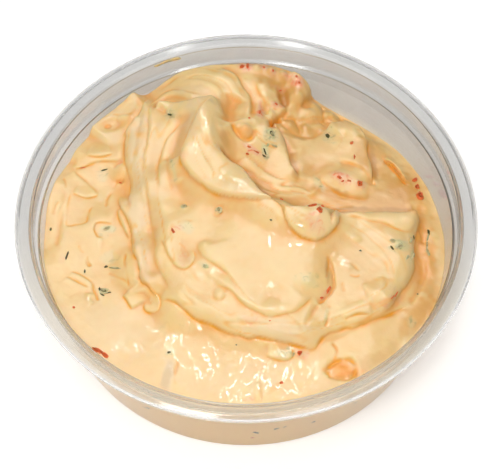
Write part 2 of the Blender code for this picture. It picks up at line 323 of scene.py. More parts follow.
def roundedProfile(corners, perCorner=6, longest=1.5, straight=0.5, margin=0.08):
    # a path through the corners, each rounded by an arc of its own radius, with no piece over the longest;
    # a span over straight is no part of an arc, and points a margin from its ends keep it flat where
    # normals are smoothed
    path = [np.array(corners[0][:2], float)]
    for (ax, az, _), (bx, bz, radius), (cx, cz, _) in zip(corners[:-2], corners[1:-1], corners[2:]):
        a, b, c = np.array([ax, az]), np.array([bx, bz]), np.array([cx, cz])
        towardsA, towardsC = (a - b) / np.linalg.norm(a - b), (c - b) / np.linalg.norm(c - b)
        half = math.acos(float(np.clip(towardsA @ towardsC, -1, 1))) / 2
        cut = radius / math.tan(half)
        middle = b + (towardsA + towardsC) / np.linalg.norm(towardsA + towardsC) * radius / math.sin(half)
        first, last = b + towardsA * cut - middle, b + towardsC * cut - middle
        start = math.atan2(first[1], first[0])
        turn = (math.atan2(last[1], last[0]) - start + pi) % (2 * pi) - pi
        angles = start + turn * np.linspace(0, 1, perCorner)
        path += [middle + radius * np.array([math.cos(k), math.sin(k)]) for k in angles]
    path.append(np.array(corners[-1][:2], float))
    full = [path[0]]
    for a, b in zip(path[:-1], path[1:]):
        span = np.linalg.norm(b - a)
        pieces = max(1, math.ceil(span / longest))
        shares = {k / pieces for k in range(1, pieces + 1)}
        if span > straight:
            shares |= {margin / span, 1 - margin / span}
        full += [a + (b - a) * share for share in sorted(shares)]
    return np.array(full)


def buildTub():
    # the half-section turned about Z: radius and level at each of its points, times cos and sin of the turn
    floor, base = tub["floor"] - tub["rimLine"], -tub["rimLine"]
    rim, mouth, ledge, ledgeLevel, wall = (
        tub[key] for key in ("rimRadius", "mouthRadius", "ledgeRadius", "ledgeLevel", "wall"))
    innerFoot = ledge - tub["taper"] * (ledgeLevel - floor)
    corners = [  # radius, level and rounding: up the inside, over the rim and down the outside
        (0, floor, 0), (innerFoot, floor, tub["footRound"]), (ledge, ledgeLevel, 0.2),
        (mouth - 0.3, ledgeLevel + 0.3, 0.25), (mouth, 0.0, 0.2), (mouth + 1.0, 0.42, 0.8),
        (rim - 1.4, 0.3, 1.6), (rim, -0.5, 0.5), (rim - 0.3, -1.9, 0.15), (rim - 0.8, -1.9, 0.15),
        (rim - 0.7, -1.0, 0.3), (rim - 1.6, -0.3, 0.8), (mouth + 1.1, -0.2, 0.3), (mouth + wall, -0.9, 0.3),
        (mouth + wall - 0.3, ledgeLevel - 0.3, 0.4), (ledge + wall, ledgeLevel - 0.7, 0.3),
        (tub["baseRadius"], base, 2.0), (0, base, 0),
    ]
    inner = roundedProfile(corners)[1:-1]
    turn = np.arange(tub["turns"]) * 2 * pi / tub["turns"]
    ring = np.stack([inner[:, :1] * np.cos(turn), inner[:, :1] * np.sin(turn),
                     np.repeat(inner[:, 1:], len(turn), 1)], -1).reshape(-1, 3)
    points = np.vstack([ring, [(0, 0, floor)], [(0, 0, base)]])
    faces = quadRows(len(inner), len(turn))[:, ::-1].tolist()
    count, last = len(turn), (len(inner) - 1) * len(turn)
    topPole, basePole = len(ring), len(ring) + 1
    faces += [(topPole, j, (j + 1) % count) for j in range(count)]
    faces += [(basePole, last + (j + 1) % count, last + j) for j in range(count)]
    return makeMesh("clear_tub", points, faces, clearPlastic())


clearTub = buildTub()
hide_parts("tub")
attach(clearTub, "root")
print("tub turned")


# Cream cheese

cream = {
    "steps": 290,  # quads across the top
    "intoWall": 0.1,  # how far it reaches into the plastic, so that no air shows
    "sideRings": 6,
    "wavers": [(3.6, 0.3, 21), (1.3, 0.09, 23)],  # size, reach and seed of the sideways waver of every fold
    "undulations": [(9.0, 0.26, 3), (4.6, 0.1, 4), (2.3, 0.055, 5), (1.25, 0.028, 6)],  # size, height, seed
    "hollows": [(2.2, 4.5), (7, 0.7)],  # blur in grid steps and weight, for the masks sunk (painted shade) and swollen (painted light)
    "colors": [(0.83, 0.545, 0.225), (0.91, 0.66, 0.305)],
    # painted shade: sunk, mauve, tan, shade, amber and creaseShade; painted light: swollen and side; green
    # and pink are the cheese's own colour
    "layers": [  # tints laid over the colour one after another: mask, tint, strength
        ("sunk", (0.80, 0.38, 0.11), 0.65), ("swollen", (0.94, 0.74, 0.41), 0.25),
        ("mauve", (0.80, 0.61, 0.36), 0.6), ("tan", (0.69, 0.36, 0.085), 0.85),
        ("shade", (0.45, 0.21, 0.05), 0.75), ("green", (0.72, 0.64, 0.34), 0.8),
        ("pink", (0.86, 0.50, 0.29), 0.7), ("amber", (0.92, 0.38, 0.06), 0.9),
        ("creaseShade", (0.88, 0.40, 0.04), 0.92), ("side", (1.0, 0.67, 0.24), 0.95),
    ],
    "flecks": [("pink", (0.84, 0.24, 0.09)), ("green", (0.28, 0.26, 0.11))],
}

wallLevels = [  # degrees round from +X, and the level where the cheese meets the wall
    (-180, -9.7), (-176, -9.5), (-170, -8.1), (-160, -8.4), (-135, -8.3), (-110, -7.3), (-90, -7),
    (-70, -7.5), (-45, -10), (-20, -12.3), (0, -13.5), (20, -14.2), (31, -15.2), (40, -16.2), (53, -16.6),
    (66, -16.2), (69, -15.4), (70.6, -12.6), (72, -10), (74, -7.8), (77, -6.1), (82, -5.4), (110, -5.4),
    (114.2, -6.8), (117.8, -8.9), (119.8, -9.8), (121.2, -9.6), (122.8, -8.2), (124.2, -6), (128, -6.8),
    (131.5, -7.2), (136, -6.8), (140.5, -6.4), (142.8, -9.6), (149, -8.7), (153, -9.7), (157.5, -8.5),
    (162, -7), (168, -7.4), (172, -8.5), (175.5, -9.5), (180, -9.7),
]

spots = {  # broad form by region: how far each spot reaches, then x, y and level
    "leftShelf": (6, [(-44, 14, -9.3), (-35, 33, -7.5), (-44, -6, -9.3), (-36, 2, -8), (-38, -18, -8.5),
        (-30, -30, -8)]),
    "frontStrip": (6, [(-14, -38, -7), (2, -41, -6.6), (18, -40, -7.4), (28, -34, -7.6), (38, -28, -9)]),
    "leftFlow": (4, [(-28, 2, -6.2), (-25, 24, -5), (-26, 36, -5), (-25, -12, -5.2), (-20, 8, -3.2),
        (-19, 28, -3.2), (-19, -8, -3.2), (-14, -22, -3.5)]),
    "bigLobe": (5, [(-12, -2, -1.4), (0, -8, 0), (11, -14, -0.2), (-4, -18, -1.5), (6, -24, -1.6),
        (0, -29, -3.8), (14, -29, -4)]),
    "rightLobe": (5, [(27, -7, -2.8), (35, -8, -4.5), (28, -17, -3.8), (36, -17, -6.8), (27, -25, -5)]),
    "rightEdge": (4, [(47, 0, -12), (46, -10, -12), (43, -19, -11)]),
    "peakAndRibbon": (3.5, [(-10, 31, 4), (-12, 22, 2.5), (-11, 14, 1), (-3, 10, 1.7), (6, 3, 1.4),
        (15, -1, 1), (19, -3, 0.5)]),
    "backDome": (4, [(-22, 43, -6.5), (-12, 47, -3), (-13, 40, -1), (-3, 45, -3.3), (-3, 37, -3),
        (6, 44, -5), (13, 46, -8), (11, 37, -9)]),
    "behindRibbon": (4, [(-3, 28, -0.5), (3, 29, -2.5), (1, 21, -4.5), (10, 21, -7), (8, 14, -7.5),
        (14, 29, -9.5)]),
    "rightValley": (4.5, [(18, 38, -12.5), (20, 23, -10.5), (27, 28, -9.8), (26, 18, -9.4), (37, 27, -13),
        (34, 14, -11.5), (42, 16, -13), (18, 12, -9.8), (28, 11, -10.3), (38, 11, -11.6)]),
    "lightStrip": (3, [(26, 3, -4.5), (34, 4, -5.5), (41, 4, -7.5)]),
}


def step(path, **form):
    # the left side of the path stands higher by rise and the right side lower by drop, past a lip that
    # bulges over the low side; a groove may run along its foot
    return "step", path, form


def groove(path, depth, width, **form):
    return "groove", path, dict(groove=depth, width=width, **form)


def crest(path, rise, left, right, **form):
    # sharp along its top, and left and right are how far its sides reach
    return "crest", path, dict(rise=rise, left=left, right=right, **form)


def ridge(path, rise, left, right):
    # as a crest, with a soft top
    return "ridge", path, dict(rise=rise, left=left, right=right)


def strands(path, rise, width, between, **form):
    # the fine uneven lines that a spatula leaves beside its way
    return "strands", path, dict(rise=rise, width=width, between=between, **form)


folds = {
    "valleyEdge": step([(44, 6.5), (39.5, 5.4), (34, 4.8), (28.5, 4), (24.5, 3.2), (21.6, 3.6)],
        rise=2.2, drop=2.6, lip=1, reach=4, low=4, over=0.8, end=0.05),
    "ribbonBack": step([(24.5, 2), (23, 3), (22, 6), (19, 3), (15, 1), (11.5, 0.5), (8, 2), (4, 5.5),
        (1, 9.5), (-1.5, 14), (-4, 16), (-6, 18.5), (-7, 22)],
        rise=2.2, drop=3, lip=0.9, reach=4, low=4, over=1.1),
    "ribbonFoot": step([(-9.2, 36.5), (-10.4, 33.6), (-12.1, 30.6), (-13.5, 27.6), (-14.8, 24.4),
        (-16, 21.2), (-16.7, 18.4), (-16.6, 16.2), (-15.3, 14), (-13, 11.3), (-10.5, 8.8), (-7, 6.5),
        (-3.5, 5), (0.5, 4), (4, 3), (7, 2), (9, -0.5), (10, -2.5), (12, -5), (14.5, -6.5), (17.5, -7),
        (20.5, -5), (22.5, -2.5), (24, 2)],
        rise=1.5, lip=1.1, reach=5, groove=0.3, width=0.26, over=0.7, end=0.04),
    "stripFoot": step([(24.5, 1.2), (27, 1.6), (30, 1.3), (33.4, 1), (36.6, 0.2), (39.6, -0.6), (42, 1),
        (43.4, 4)], rise=0.6, lip=1, reach=2.5, groove=0.2, width=0.3, over=0.3, tone=0.8),
    "stripLine": groove([(26.4, 3.6), (30, 4), (34, 4.3), (38, 4.6), (42, 5.6)], 0.5, 0.5, tone=0.6),
    "leftEdgeTop": step([(-25.6, 43.6), (-26.8, 40.5), (-27.6, 37.4), (-29, 34.5), (-30.7, 31.5),
        (-31.6, 27.5), (-31.5, 23.5), (-31.1, 20.5), (-30, 17), (-29.6, 13), (-29.6, 9), (-29, 5)],
        rise=0.95, lip=2.1, reach=4, groove=0.12, width=0.4, over=0.5, tone=0.7),
    "leftEdgeLow": step([(-33.4, 12), (-32.4, 8.5), (-30.6, 4.5), (-29.2, 1), (-28.8, -2), (-28.8, -4.5),
        (-28.5, -7), (-27.2, -9.5), (-26.7, -12.5), (-26.5, -15.5), (-24.5, -18.2), (-21.5, -20.8)],
        rise=1.5, lip=1.5, reach=4, groove=0.3, width=0.26, over=0.8),
    "moundFoot": step([(-22, -20.8), (-19, -21.5), (-16, -23.8), (-14, -26), (-11.8, -27.9), (-9, -28.6),
        (-5, -31), (-1.5, -32), (0.5, -32.9), (3.5, -32.6), (7, -33.5), (11, -33.9), (14.4, -34.6),
        (18, -35)], rise=1.6, lip=2.6, reach=6, groove=0.4, width=0.36, over=0.7, end=0.13, line=0.32),
    "moundFootRight": step([(14.6, -36), (17.4, -34), (19, -32), (20.6, -30.4), (22.5, -29.6),
        (24.5, -28.9), (26.8, -28.6), (29.5, -27.3), (32, -25.9), (35, -24.2), (38, -22), (41.5, -20.5)],
        rise=1.4, lip=2.6, reach=5, groove=0.4, width=0.36, over=0.4, end=0.2, tone=1.2, line=0.45),
    "rightLobeEdge": step([(33, -25), (36, -21.5), (39, -17), (41.3, -13.5), (42.6, -10), (43, -6),
        (42.8, -2.5), (43.4, 1.5), (44.6, 4.5), (45, 9)],
        rise=1.8, drop=1.2, lip=2.2, reach=5, low=3, over=0.6, tone=0.4),
    "caveEdge": step([(14.3, 18.8), (12.4, 19.8), (11, 22), (10.7, 26), (9.8, 29.5), (8.3, 31.5),
        (6.8, 34)], rise=1.3, drop=1.2, lip=1, reach=3.5, low=2.2, groove=0.3, width=0.3, over=0.9),
    "tabEdge": step([(33, 17.5), (32.6, 20), (32.2, 24), (31.5, 28), (31.4, 31.5), (30.4, 35), (28, 37.4),
        (25, 37.8), (22.2, 36.6), (20.2, 34.6)],
        rise=1.7, drop=0.6, lip=0.9, reach=3.5, low=2.5, groove=0.2, width=0.3, over=0.7),
    "topSheet": step([(-6.5, 38.5), (-9.5, 37.6), (-12, 36.6), (-14.5, 35.9), (-17, 36.9), (-20, 38.6),
        (-22.5, 38.4), (-23.5, 36.5)], rise=1.3, drop=1.2, lip=0.8, reach=3, low=3, over=0.7),
    "domeArc": step([(1, 33), (1.3, 37), (1, 40.5), (-0.4, 43.5), (-2, 46.5), (-4, 49), (-7, 51)],
        rise=0.5, drop=0.7, lip=1.4, reach=4, low=3, over=0.3, tone=0.3),
    "domeRim": step([(14.4, 41.2), (14.9, 43.2), (16, 44.8), (17.2, 46.4), (17.3, 48), (16.2, 49.6),
        (14, 50.8), (11, 51.4)], rise=1.5, drop=1, lip=1.2, reach=3, low=2.4, over=0.9, tone=0.5),
    "slopeCreaseA": groove([(20.8, 46), (20.4, 43.5), (20.7, 41), (21.2, 38.6)], 0.6, 0.6, tone=0.5),
    "slopeCreaseB": groove([(25.4, 44), (25.8, 42), (25.2, 40)], 0.5, 0.6, tone=0.4),
    "peakCrest": crest([(-8.6, 37.5), (-10, 34), (-11.6, 31), (-13, 28), (-14.2, 24.8), (-15.2, 21.2),
        (-15.9, 18)], 0.4, 2, 1.6, end=0.08),
    "peakHollow": groove([(-15.6, 33.5), (-16.9, 28.5), (-17.8, 23.5), (-18.4, 18.5)], 1.5, 1.9, tone=0),
    "hollow": groove([(-2.4, 40), (-3.8, 37.5), (-4.4, 34.5), (-4.4, 31.6), (-4, 29.6)], 2.3, 2, tone=0),
    "hollowFront": crest([(-8, 26.4), (-6, 27.1), (-4.2, 28.4), (-2.2, 30.1), (0, 31.4), (1.8, 31.9),
        (3.8, 31)], 1, 0.9, 1),
    "pocketFold": groove([(-3.8, 30), (-2.9, 28.2), (-1.9, 26.6), (-0.4, 25.7), (1.1, 26.2), (2.1, 27.6),
        (2.4, 29.2)], 1.1, 0.6, tone=1.1, line=0.45),
    "caveMouth": groove([(9.6, 36.4), (8, 35.9), (6.9, 34.9), (6.4, 33.2), (6.1, 31.2), (6.9, 30.1)],
        2.4, 0.62, tone=1),
    "caveWall": crest([(7.5, 34.6), (7.6, 33), (7.4, 31.6)], 0.6, 0.4, 0.6),
    "tabPoint": step([(6.4, 34.2), (7.5, 35.8), (9, 37.3), (11, 39.4)],
        rise=1.3, drop=0.7, lip=0.45, reach=1.4, low=0.8, over=0.4, end=0.05),
    "uLobe": step([(-21.4, -4.5), (-20, -7.5), (-18.6, -10.5), (-17, -13), (-15.2, -13.9), (-13.7, -12.8),
        (-13, -10.6), (-13.4, -8)], rise=0.6, lip=0.8, reach=2.2, groove=0.22, width=0.22, over=0.4),
    "uLobeInner": groove([(-16.9, -6), (-15.7, -7.5), (-14.9, -9.5), (-14.9, -11)], 0.3, 0.26),
    "lobeStep": step([(-12.3, -6), (-11.8, -8.8), (-10.6, -11.2), (-8, -13.4), (-5, -15.8), (-2.5, -18.6),
        (-0.5, -21.4), (1.5, -23.8), (4, -25.6)], rise=0.6, lip=1.8, reach=4, over=0.4, tone=0.3),
    "plateauFoot": step([(-8.6, -19), (-6, -20), (-3.8, -21.2), (-1.6, -23.4), (0.6, -25.6), (3, -27),
        (6, -27.6), (9.5, -27.2), (12.8, -25.9), (15.3, -23.4), (16.8, -20.8)],
        rise=0.7, lip=1.8, reach=4, groove=0.1, width=0.7, over=0.5, tone=0.55),
    "lowerFold": groove([(14.4, -30), (15.2, -27.8), (16.5, -25.6), (18, -23.6)],
        0.45, 0.6, tone=0.5, line=0.4),
    "lowerCrease": groove([(19, -29.5), (19.8, -27.5), (20.6, -25.5), (21, -23)], 0.5, 0.38, tone=0.6),
    "pitWest": groove([(20.6, -9.8), (20.5, -12), (20.2, -14.5), (19.9, -16.5)], 0.8, 0.38),
    "pitEast": step([(21, -10.2), (21.6, -12.5), (22.1, -15.5), (22.2, -18), (21.2, -20), (19.6, -22),
        (17.5, -23.8)], rise=-0.1, drop=0.9, lip=0.7, reach=2, low=1.2, groove=0.5, width=0.38, over=0.3),
    "flowLong": step([(-10.5, 39.8), (-13, 39.9), (-15, 40.8), (-17, 42.6), (-19.4, 44), (-21.8, 43.6),
        (-23.7, 41.7), (-24.8, 38.6), (-25.2, 34.5), (-25.4, 30), (-25.7, 25), (-26, 20.5), (-25.8, 16.5),
        (-25.4, 12), (-24.7, 6.5), (-24, 2), (-23.3, -2), (-22.8, -5.5), (-22.6, -9.5), (-22, -12.5),
        (-20.6, -15.5), (-18.8, -19.5)],
        rise=0.65, lip=2.8, reach=3.5, groove=0.05, width=0.5, over=0.3, tone=0.35, end=0.05),
    "flowSecond": groove([(-11.5, 38.5), (-14, 38), (-15.8, 38.6), (-17.6, 40.2), (-19.6, 41.4),
        (-21.8, 40.9), (-23.4, 38.8), (-23.9, 36)], 0.4, 0.8, tone=0.5, end=0.15),
    "flowInner": step([(-16.8, 32.2), (-18, 30.2), (-19.5, 27.8), (-20.6, 25.5), (-21.6, 23), (-22.2, 20),
        (-22.3, 15), (-22.2, 10)],
        rise=0.6, lip=1.9, reach=2.6, groove=0.1, width=0.35, over=0.3, tone=0.6),
    "flowOuter": step([(-26.2, 38), (-27.2, 33), (-28.1, 27), (-28.4, 21), (-27.9, 15), (-27, 9)],
        rise=0.35, lip=2.2, reach=2.6, tone=0.1),
    "flowShort": groove([(-20.2, 22), (-19.8, 17.5), (-19.2, 13.5), (-18.6, 10)], 0.25, 0.38, tone=0.5),
    "flowLeft": step([(-33, 8), (-32.8, 5.5), (-32, 3), (-30.7, 0.5), (-29.6, -2)],
        rise=0.5, lip=0.9, reach=2, groove=0.2, width=0.26, over=0.3),
    "flowStrip": groove([(-31, -6), (-30.4, -9.5), (-29.9, -13), (-29.5, -16.5)], 0.35, 0.3),
    "flowShade": groove([(-23.6, 1), (-23.4, -5), (-24.2, -10), (-22.6, -15)], 0.6, 1.4, tone=0),
    "wave": step([(-45.3, 13.5), (-43.3, 12.6), (-41.2, 12), (-39.5, 12.2), (-37.8, 12.8)],
        rise=0.4, lip=0.6, reach=2, groove=0.2, width=0.22, over=0.35),
    "slant": step([(-38.3, 13.4), (-40, 15.4), (-41.5, 17), (-43.5, 18.8), (-45, 21)],
        rise=0.15, lip=0.8, reach=2, groove=0.2, width=0.36, over=0.15),
    "shelfStep": step([(-46, 21.6), (-43.8, 21.3), (-41.5, 21.9), (-38.5, 22.6), (-35.5, 22.3),
        (-32.5, 21.8)], rise=0.45, lip=1, reach=3, groove=0.15, width=0.36, over=0.3, tone=0.8),
    "shelfLine": step([(-42, 24.8), (-39.5, 24.1), (-37, 23.9), (-34.5, 24.6)],
        rise=0.35, lip=0.7, reach=2, groove=0.15, width=0.3, over=0.2),
    "patch": step([(-39, 9.6), (-40.2, 7.6), (-40.8, 5.4), (-41.4, 3.8), (-43.6, 3.3), (-45.9, 3.5),
        (-46.1, 6.5), (-46, 11), (-45.4, 14)],
        rise=0.18, lip=0.7, reach=4, groove=0.1, width=0.34, tone=0.8),
    "smallLobe": step([(-36, -1.2), (-37.6, -0.8), (-38.6, 0.6), (-38.9, 2.2), (-38.2, 3.4), (-36.4, 3.6),
        (-34, 3.2)], rise=0.4, lip=0.6, reach=2.6, over=0.2, tone=0.9),
    "nick": groove([(-40.5, -5.8), (-40.4, -7.8), (-39.4, -9.4)], 0.45, 0.3, tone=0.8),
    "bubbleRing": groove([(-5, -21.8), (-5.4, -20.5), (-6.6, -20), (-7.8, -20.5), (-8.2, -21.8),
        (-7.8, -23.1), (-6.6, -23.6), (-5.4, -23.1), (-5, -21.8)], 0.35, 0.4, tone=0.5, end=0.03),
    "bubbleRingB": groove([(-5.8, 2.6), (-6.1, 3.5), (-6.9, 3.8), (-7.8, 3.4), (-8, 2.6), (-7.7, 1.7),
        (-6.9, 1.4), (-6.1, 1.8), (-5.8, 2.6)], 0.25, 0.36, tone=0.4, end=0.03),
    "nickHigh": groove([(-42.5, -2.6), (-42.2, -4), (-41.4, -5.2)], 0.2, 0.22),
    "fanA": step([(-38.2, -16), (-38.8, -14.2), (-40.4, -12.9), (-42.3, -11.4), (-44.6, -10.3)],
        rise=0.2, lip=0.7, reach=1.6, groove=0.25, width=0.32, over=0.2),
    "fanB": step([(-39.6, -15.3), (-41.2, -14.7), (-43.2, -13.6), (-45.8, -12.1)],
        rise=0.15, lip=0.7, reach=1.4, groove=0.25, width=0.32, over=0.15),
    "fanC": groove([(-38.8, -14.3), (-38.2, -16.2), (-37.4, -18.3), (-36.8, -19.6)], 0.45, 0.26),
    "fanD": groove([(-35, -11.3), (-32.8, -12.4), (-30.6, -14.2), (-29.8, -15.8)], 0.2, 0.26, tone=0.6),
    "fanE": ridge([(-39, -17), (-39.6, -19), (-38.6, -20.8)], 0.4, 0.7, 0.9),
    "flapLeft": step([(-31, -18.2), (-29.8, -19.8), (-28.4, -22.4)],
        rise=0.6, lip=0.7, reach=2.5, groove=0.25, width=0.26, over=0.3),
    "flapTop": crest([(-26.8, -15.4), (-28.2, -16.9), (-29.8, -18)], 0.5, 0.7, 1.2),
    "flapLobe": step([(-25.8, -20.4), (-25.4, -22.6), (-23.8, -23.7), (-22, -23.2), (-21.5, -21.6),
        (-22.2, -19.6), (-24.2, -17.7), (-26.4, -15.6)],
        rise=0.6, lip=0.8, reach=3.2, groove=0.12, width=0.26, over=0.4),
    "topWrinkle": groove([(-35.5, 37.2), (-33, 36.9), (-30, 36.8)], 0.3, 0.3),
    "topWrinkleB": ridge([(-34, 35.6), (-32, 35.9), (-29.6, 36)], 0.35, 0.5, 0.9),
    "topFold": step([(-28.6, 35.3), (-29.8, 33.6), (-31, 32), (-32, 29.8)],
        rise=0.5, lip=0.5, reach=1.4, groove=0.2, width=0.22, over=0.3, tone=0.5),
    "edgeLine": groove([(-47.8, 17.8), (-47, 16.2), (-46.6, 14.4)], 0.3, 0.26),
    "edgeSoftA": groove([(-46.6, 14), (-47.3, 9.5), (-48, 5.6), (-48.3, 0.3), (-49, -3.3)],
        0.3, 0.9, tone=0.2),
    "edgeSoftB": groove([(-48.4, 10.6), (-49.2, 8.8), (-50, 6.4)], 0.25, 0.6, tone=0.35),
    "bumpCrease": groove([(-33.4, 17.2), (-34.6, 14.5), (-35.6, 11.5), (-36, 8.5)], 0.25, 0.34, tone=0.6),
    "bumpTop": step([(-30.4, 17.5), (-31, 20), (-32.6, 21.4), (-34.6, 20.2)],
        rise=0.1, drop=0.4, lip=0.8, reach=2, low=1.2, tone=0.6),
    "frontPatch": step([(4.6, -37.2), (8.2, -38.2), (10.8, -37.8), (11.6, -36), (11, -34.6)],
        rise=0.45, lip=0.7, reach=2.5, groove=0.15, width=0.22, over=0.25),
    "frontSeam": ridge([(3.4, -50), (3.2, -47.5), (3.1, -44)], 0.3, 0.8, 0.5),
    "pitRim": groove([(20, -41.8), (19.8, -40.2), (21, -38.6), (23, -37.5), (25, -37.1), (26.6, -37.8),
        (27.4, -39.4), (26.8, -41.2), (25.2, -42.2), (22.6, -42.4), (20.8, -42.3), (20, -41.6),
        (19.9, -40.6)], 0.7, 0.45, end=0.02, tone=1.3, line=0.34),
    "pitTail": groove([(22, -37.2), (22.6, -35.6), (22.2, -34), (21, -32.8)], 0.4, 0.34),
    "frontStreak": groove([(-16.9, -37.2), (-17.2, -39.8), (-17.4, -42.4), (-17.4, -45)],
        0.3, 0.4, tone=0.5),
    "lobeNickA": groove([(28.4, -13.6), (27.3, -12.4), (26.3, -11.3)], 0.3, 0.34, tone=0.5),
    "lobeNickB": groove([(25.8, -14.6), (27, -15), (28.4, -14.7)], 0.25, 0.26),
    "lobeNickC": groove([(31.8, -9.5), (33, -9.7), (33.8, -11)], 0.25, 0.3, tone=0.6),
    "lobeFinger": ridge([(21.4, -9.4), (24, -11), (26.5, -13.4)], 0.25, 1.1, 1),
    "lobeFoot": step([(24, -27), (26, -26), (28.5, -25.3), (31.5, -25)],
        rise=0.4, lip=0.7, reach=2, groove=0.25, width=0.3, over=0.2),
    "lobeRadialA": ridge([(33.7, -14.6), (33.6, -17), (33, -20)], 0.25, 0.8, 0.9),
    "lobeRadialB": ridge([(29, -17), (30.4, -20), (31.3, -22.6)], 0.4, 0.8, 0.6),
    "lobeRadialC": groove([(24.2, -17), (24.3, -19.5)], 0.3, 0.3),
    "sheetLineA": groove([(2.4, 29.4), (3.6, 27.9), (5.6, 26.6), (8.4, 25.8)], 0.3, 0.3, tone=0.7),
    "sheetLineC": groove([(2.2, 27.9), (3.8, 26.5), (6, 25.3), (8.2, 24.6)], 0.25, 0.3, tone=0.6),
    "sheetLineB": groove([(-2.2, 19.2), (0.4, 17.9), (2.6, 17.3), (4.6, 17.2)], 0.25, 0.34, tone=0.7),
    "valleyLine": groove([(8.6, 35.4), (10.4, 34.6), (12.2, 33.3), (14.6, 32.2), (17, 32.2), (19, 33.8),
        (20.2, 35.4)], 0.5, 0.8, tone=0.4),
    "valleyCrest": crest([(6.5, 11), (9, 11.4), (12.5, 12), (16.5, 13.2), (18.6, 15.5), (19.4, 18.8)],
        0.9, 1.6, 1.2),
    "backFold": groove([(9.4, 36.8), (11, 37.2), (12.8, 37.6), (13.8, 36), (14.2, 34), (13.8, 32.6)],
        0.5, 0.6, tone=0.5),
    "backRib": ridge([(9.4, 35), (10.2, 32), (11.6, 29), (12.4, 26.4)], 0.35, 0.8, 0.9),
    "backFoldB": step([(19, 38), (21, 39.8), (23, 41.5), (26, 42.5)],
        rise=-0.2, drop=0.5, lip=1, reach=2.5, low=2, tone=0.4),
    "crescent": step([(36.2, 26.4), (37.6, 26), (39.4, 24.6), (40.8, 22.6), (41.8, 20), (41.9, 18.6)],
        rise=0.9, drop=1.1, lip=0.45, reach=1.1, low=1.1, over=0.6, tone=1),
    "darkValley": groove([(44.6, 12.5), (45.4, 8), (45.4, 3.5), (45, -1)], 0.7, 1.8, tone=0.3),
    "outerFold": groove([(46.2, -4), (45, -10), (43.2, -15.5), (41, -20)], 0.6, 1, tone=0.3),
    "lumpTop": step([(24, 23.8), (26.6, 23.4), (28.8, 22.1), (30.6, 20.2), (32.6, 18.8), (34, 17)],
        rise=0.2, drop=0.5, lip=0.8, reach=2, low=1.6, tone=0.9),
    "lumpFoot": step([(18.9, 20), (19.3, 18), (20.2, 16.4), (22.2, 14.8), (25, 13.3), (28.5, 12.5),
        (32, 12.8)],
        rise=0.35, drop=0.2, lip=1.5, reach=2.4, low=1.2, groove=0.25, width=0.5, over=0.3, tone=0.6),
    "tabBand": ridge([(24, 35), (26, 34.2), (28, 32.6), (29.6, 30.2)], 0.45, 0.9, 1.1),
    "tabTop": groove([(23.4, 36.4), (25.6, 36.8), (28, 35.4), (29.8, 32.8), (30.4, 30.6)],
        0.35, 0.8, tone=0.2),
    "peakRidgeA": crest([(-9.8, 38), (-8, 36), (-7, 33.6), (-6.6, 31)], 0.7, 0.9, 0.8),
    "lobeShine": ridge([(-10.5, -15), (-6.5, -18), (-2.4, -21.6), (1.6, -24.4), (5, -25.8), (9, -24.4)],
        0.35, 1.8, 1),
    "ribbonLine": groove([(-2, 6.9), (1, 5.6), (4.5, 4.4), (7.5, 3)], 0.25, 0.3, tone=0.5),
    "blockLine": groove([(-17.4, -0.4), (-15.6, 0.1), (-13.6, -0.4)], 0.2, 0.3),
    "tongueLine": groove([(12.2, -1.6), (13, -2.6), (14.2, -3.4)], 0.3, 0.3),
    "flowStrands": strands([(-27, 40), (-28, 34), (-29, 28), (-29.3, 22), (-28.7, 15), (-28, 8), (-27, 1),
        (-25.6, -6), (-24.6, -13)], 0.22, 2.8, 1.5, end=0.05),
    "innerStrands": strands([(-21, 37), (-22.3, 32), (-23.5, 26), (-23.8, 20), (-23.3, 12), (-22, 4),
        (-20.6, -4), (-18.4, -12), (-13, -20), (-5, -27)], 0.2, 3, 1.5, end=0.05),
    "ribbonStrands": strands([(-11, 31), (-11.8, 25), (-11, 19.5), (-8, 14), (-4, 10), (1, 6.8), (6, 3.6),
        (12, -1.2), (17, -3)], 0.3, 3.4, 1, end=0.06),
    "domeStrands": strands([(-24, 45), (-18, 48.5), (-10, 48), (-3.5, 43.5), (-1, 36)], 0.35, 4.5, 1.8),
    "valleyStrands": strands([(-3.5, 21.5), (2, 17.3), (8, 14.5), (15, 14.3), (21, 12), (30, 10.4)],
        0.5, 3.6, 1.1),
    "backStrands": strands([(2, 47), (3.5, 41), (8, 38), (14, 37), (21, 40), (29, 38)], 0.8, 4.5, 2.2),
    "lobeStrands": strands([(25, 0), (32, -4.5), (36.5, -11), (36, -18), (30, -23)], 0.2, 5, 1.8),
    "moundStrands": strands([(-18, -18), (-12, -24), (-3, -29.5), (8, -31.5), (17, -30.5), (26, -26.5),
        (35, -21)], 0.35, 2.8, 1.4),
}

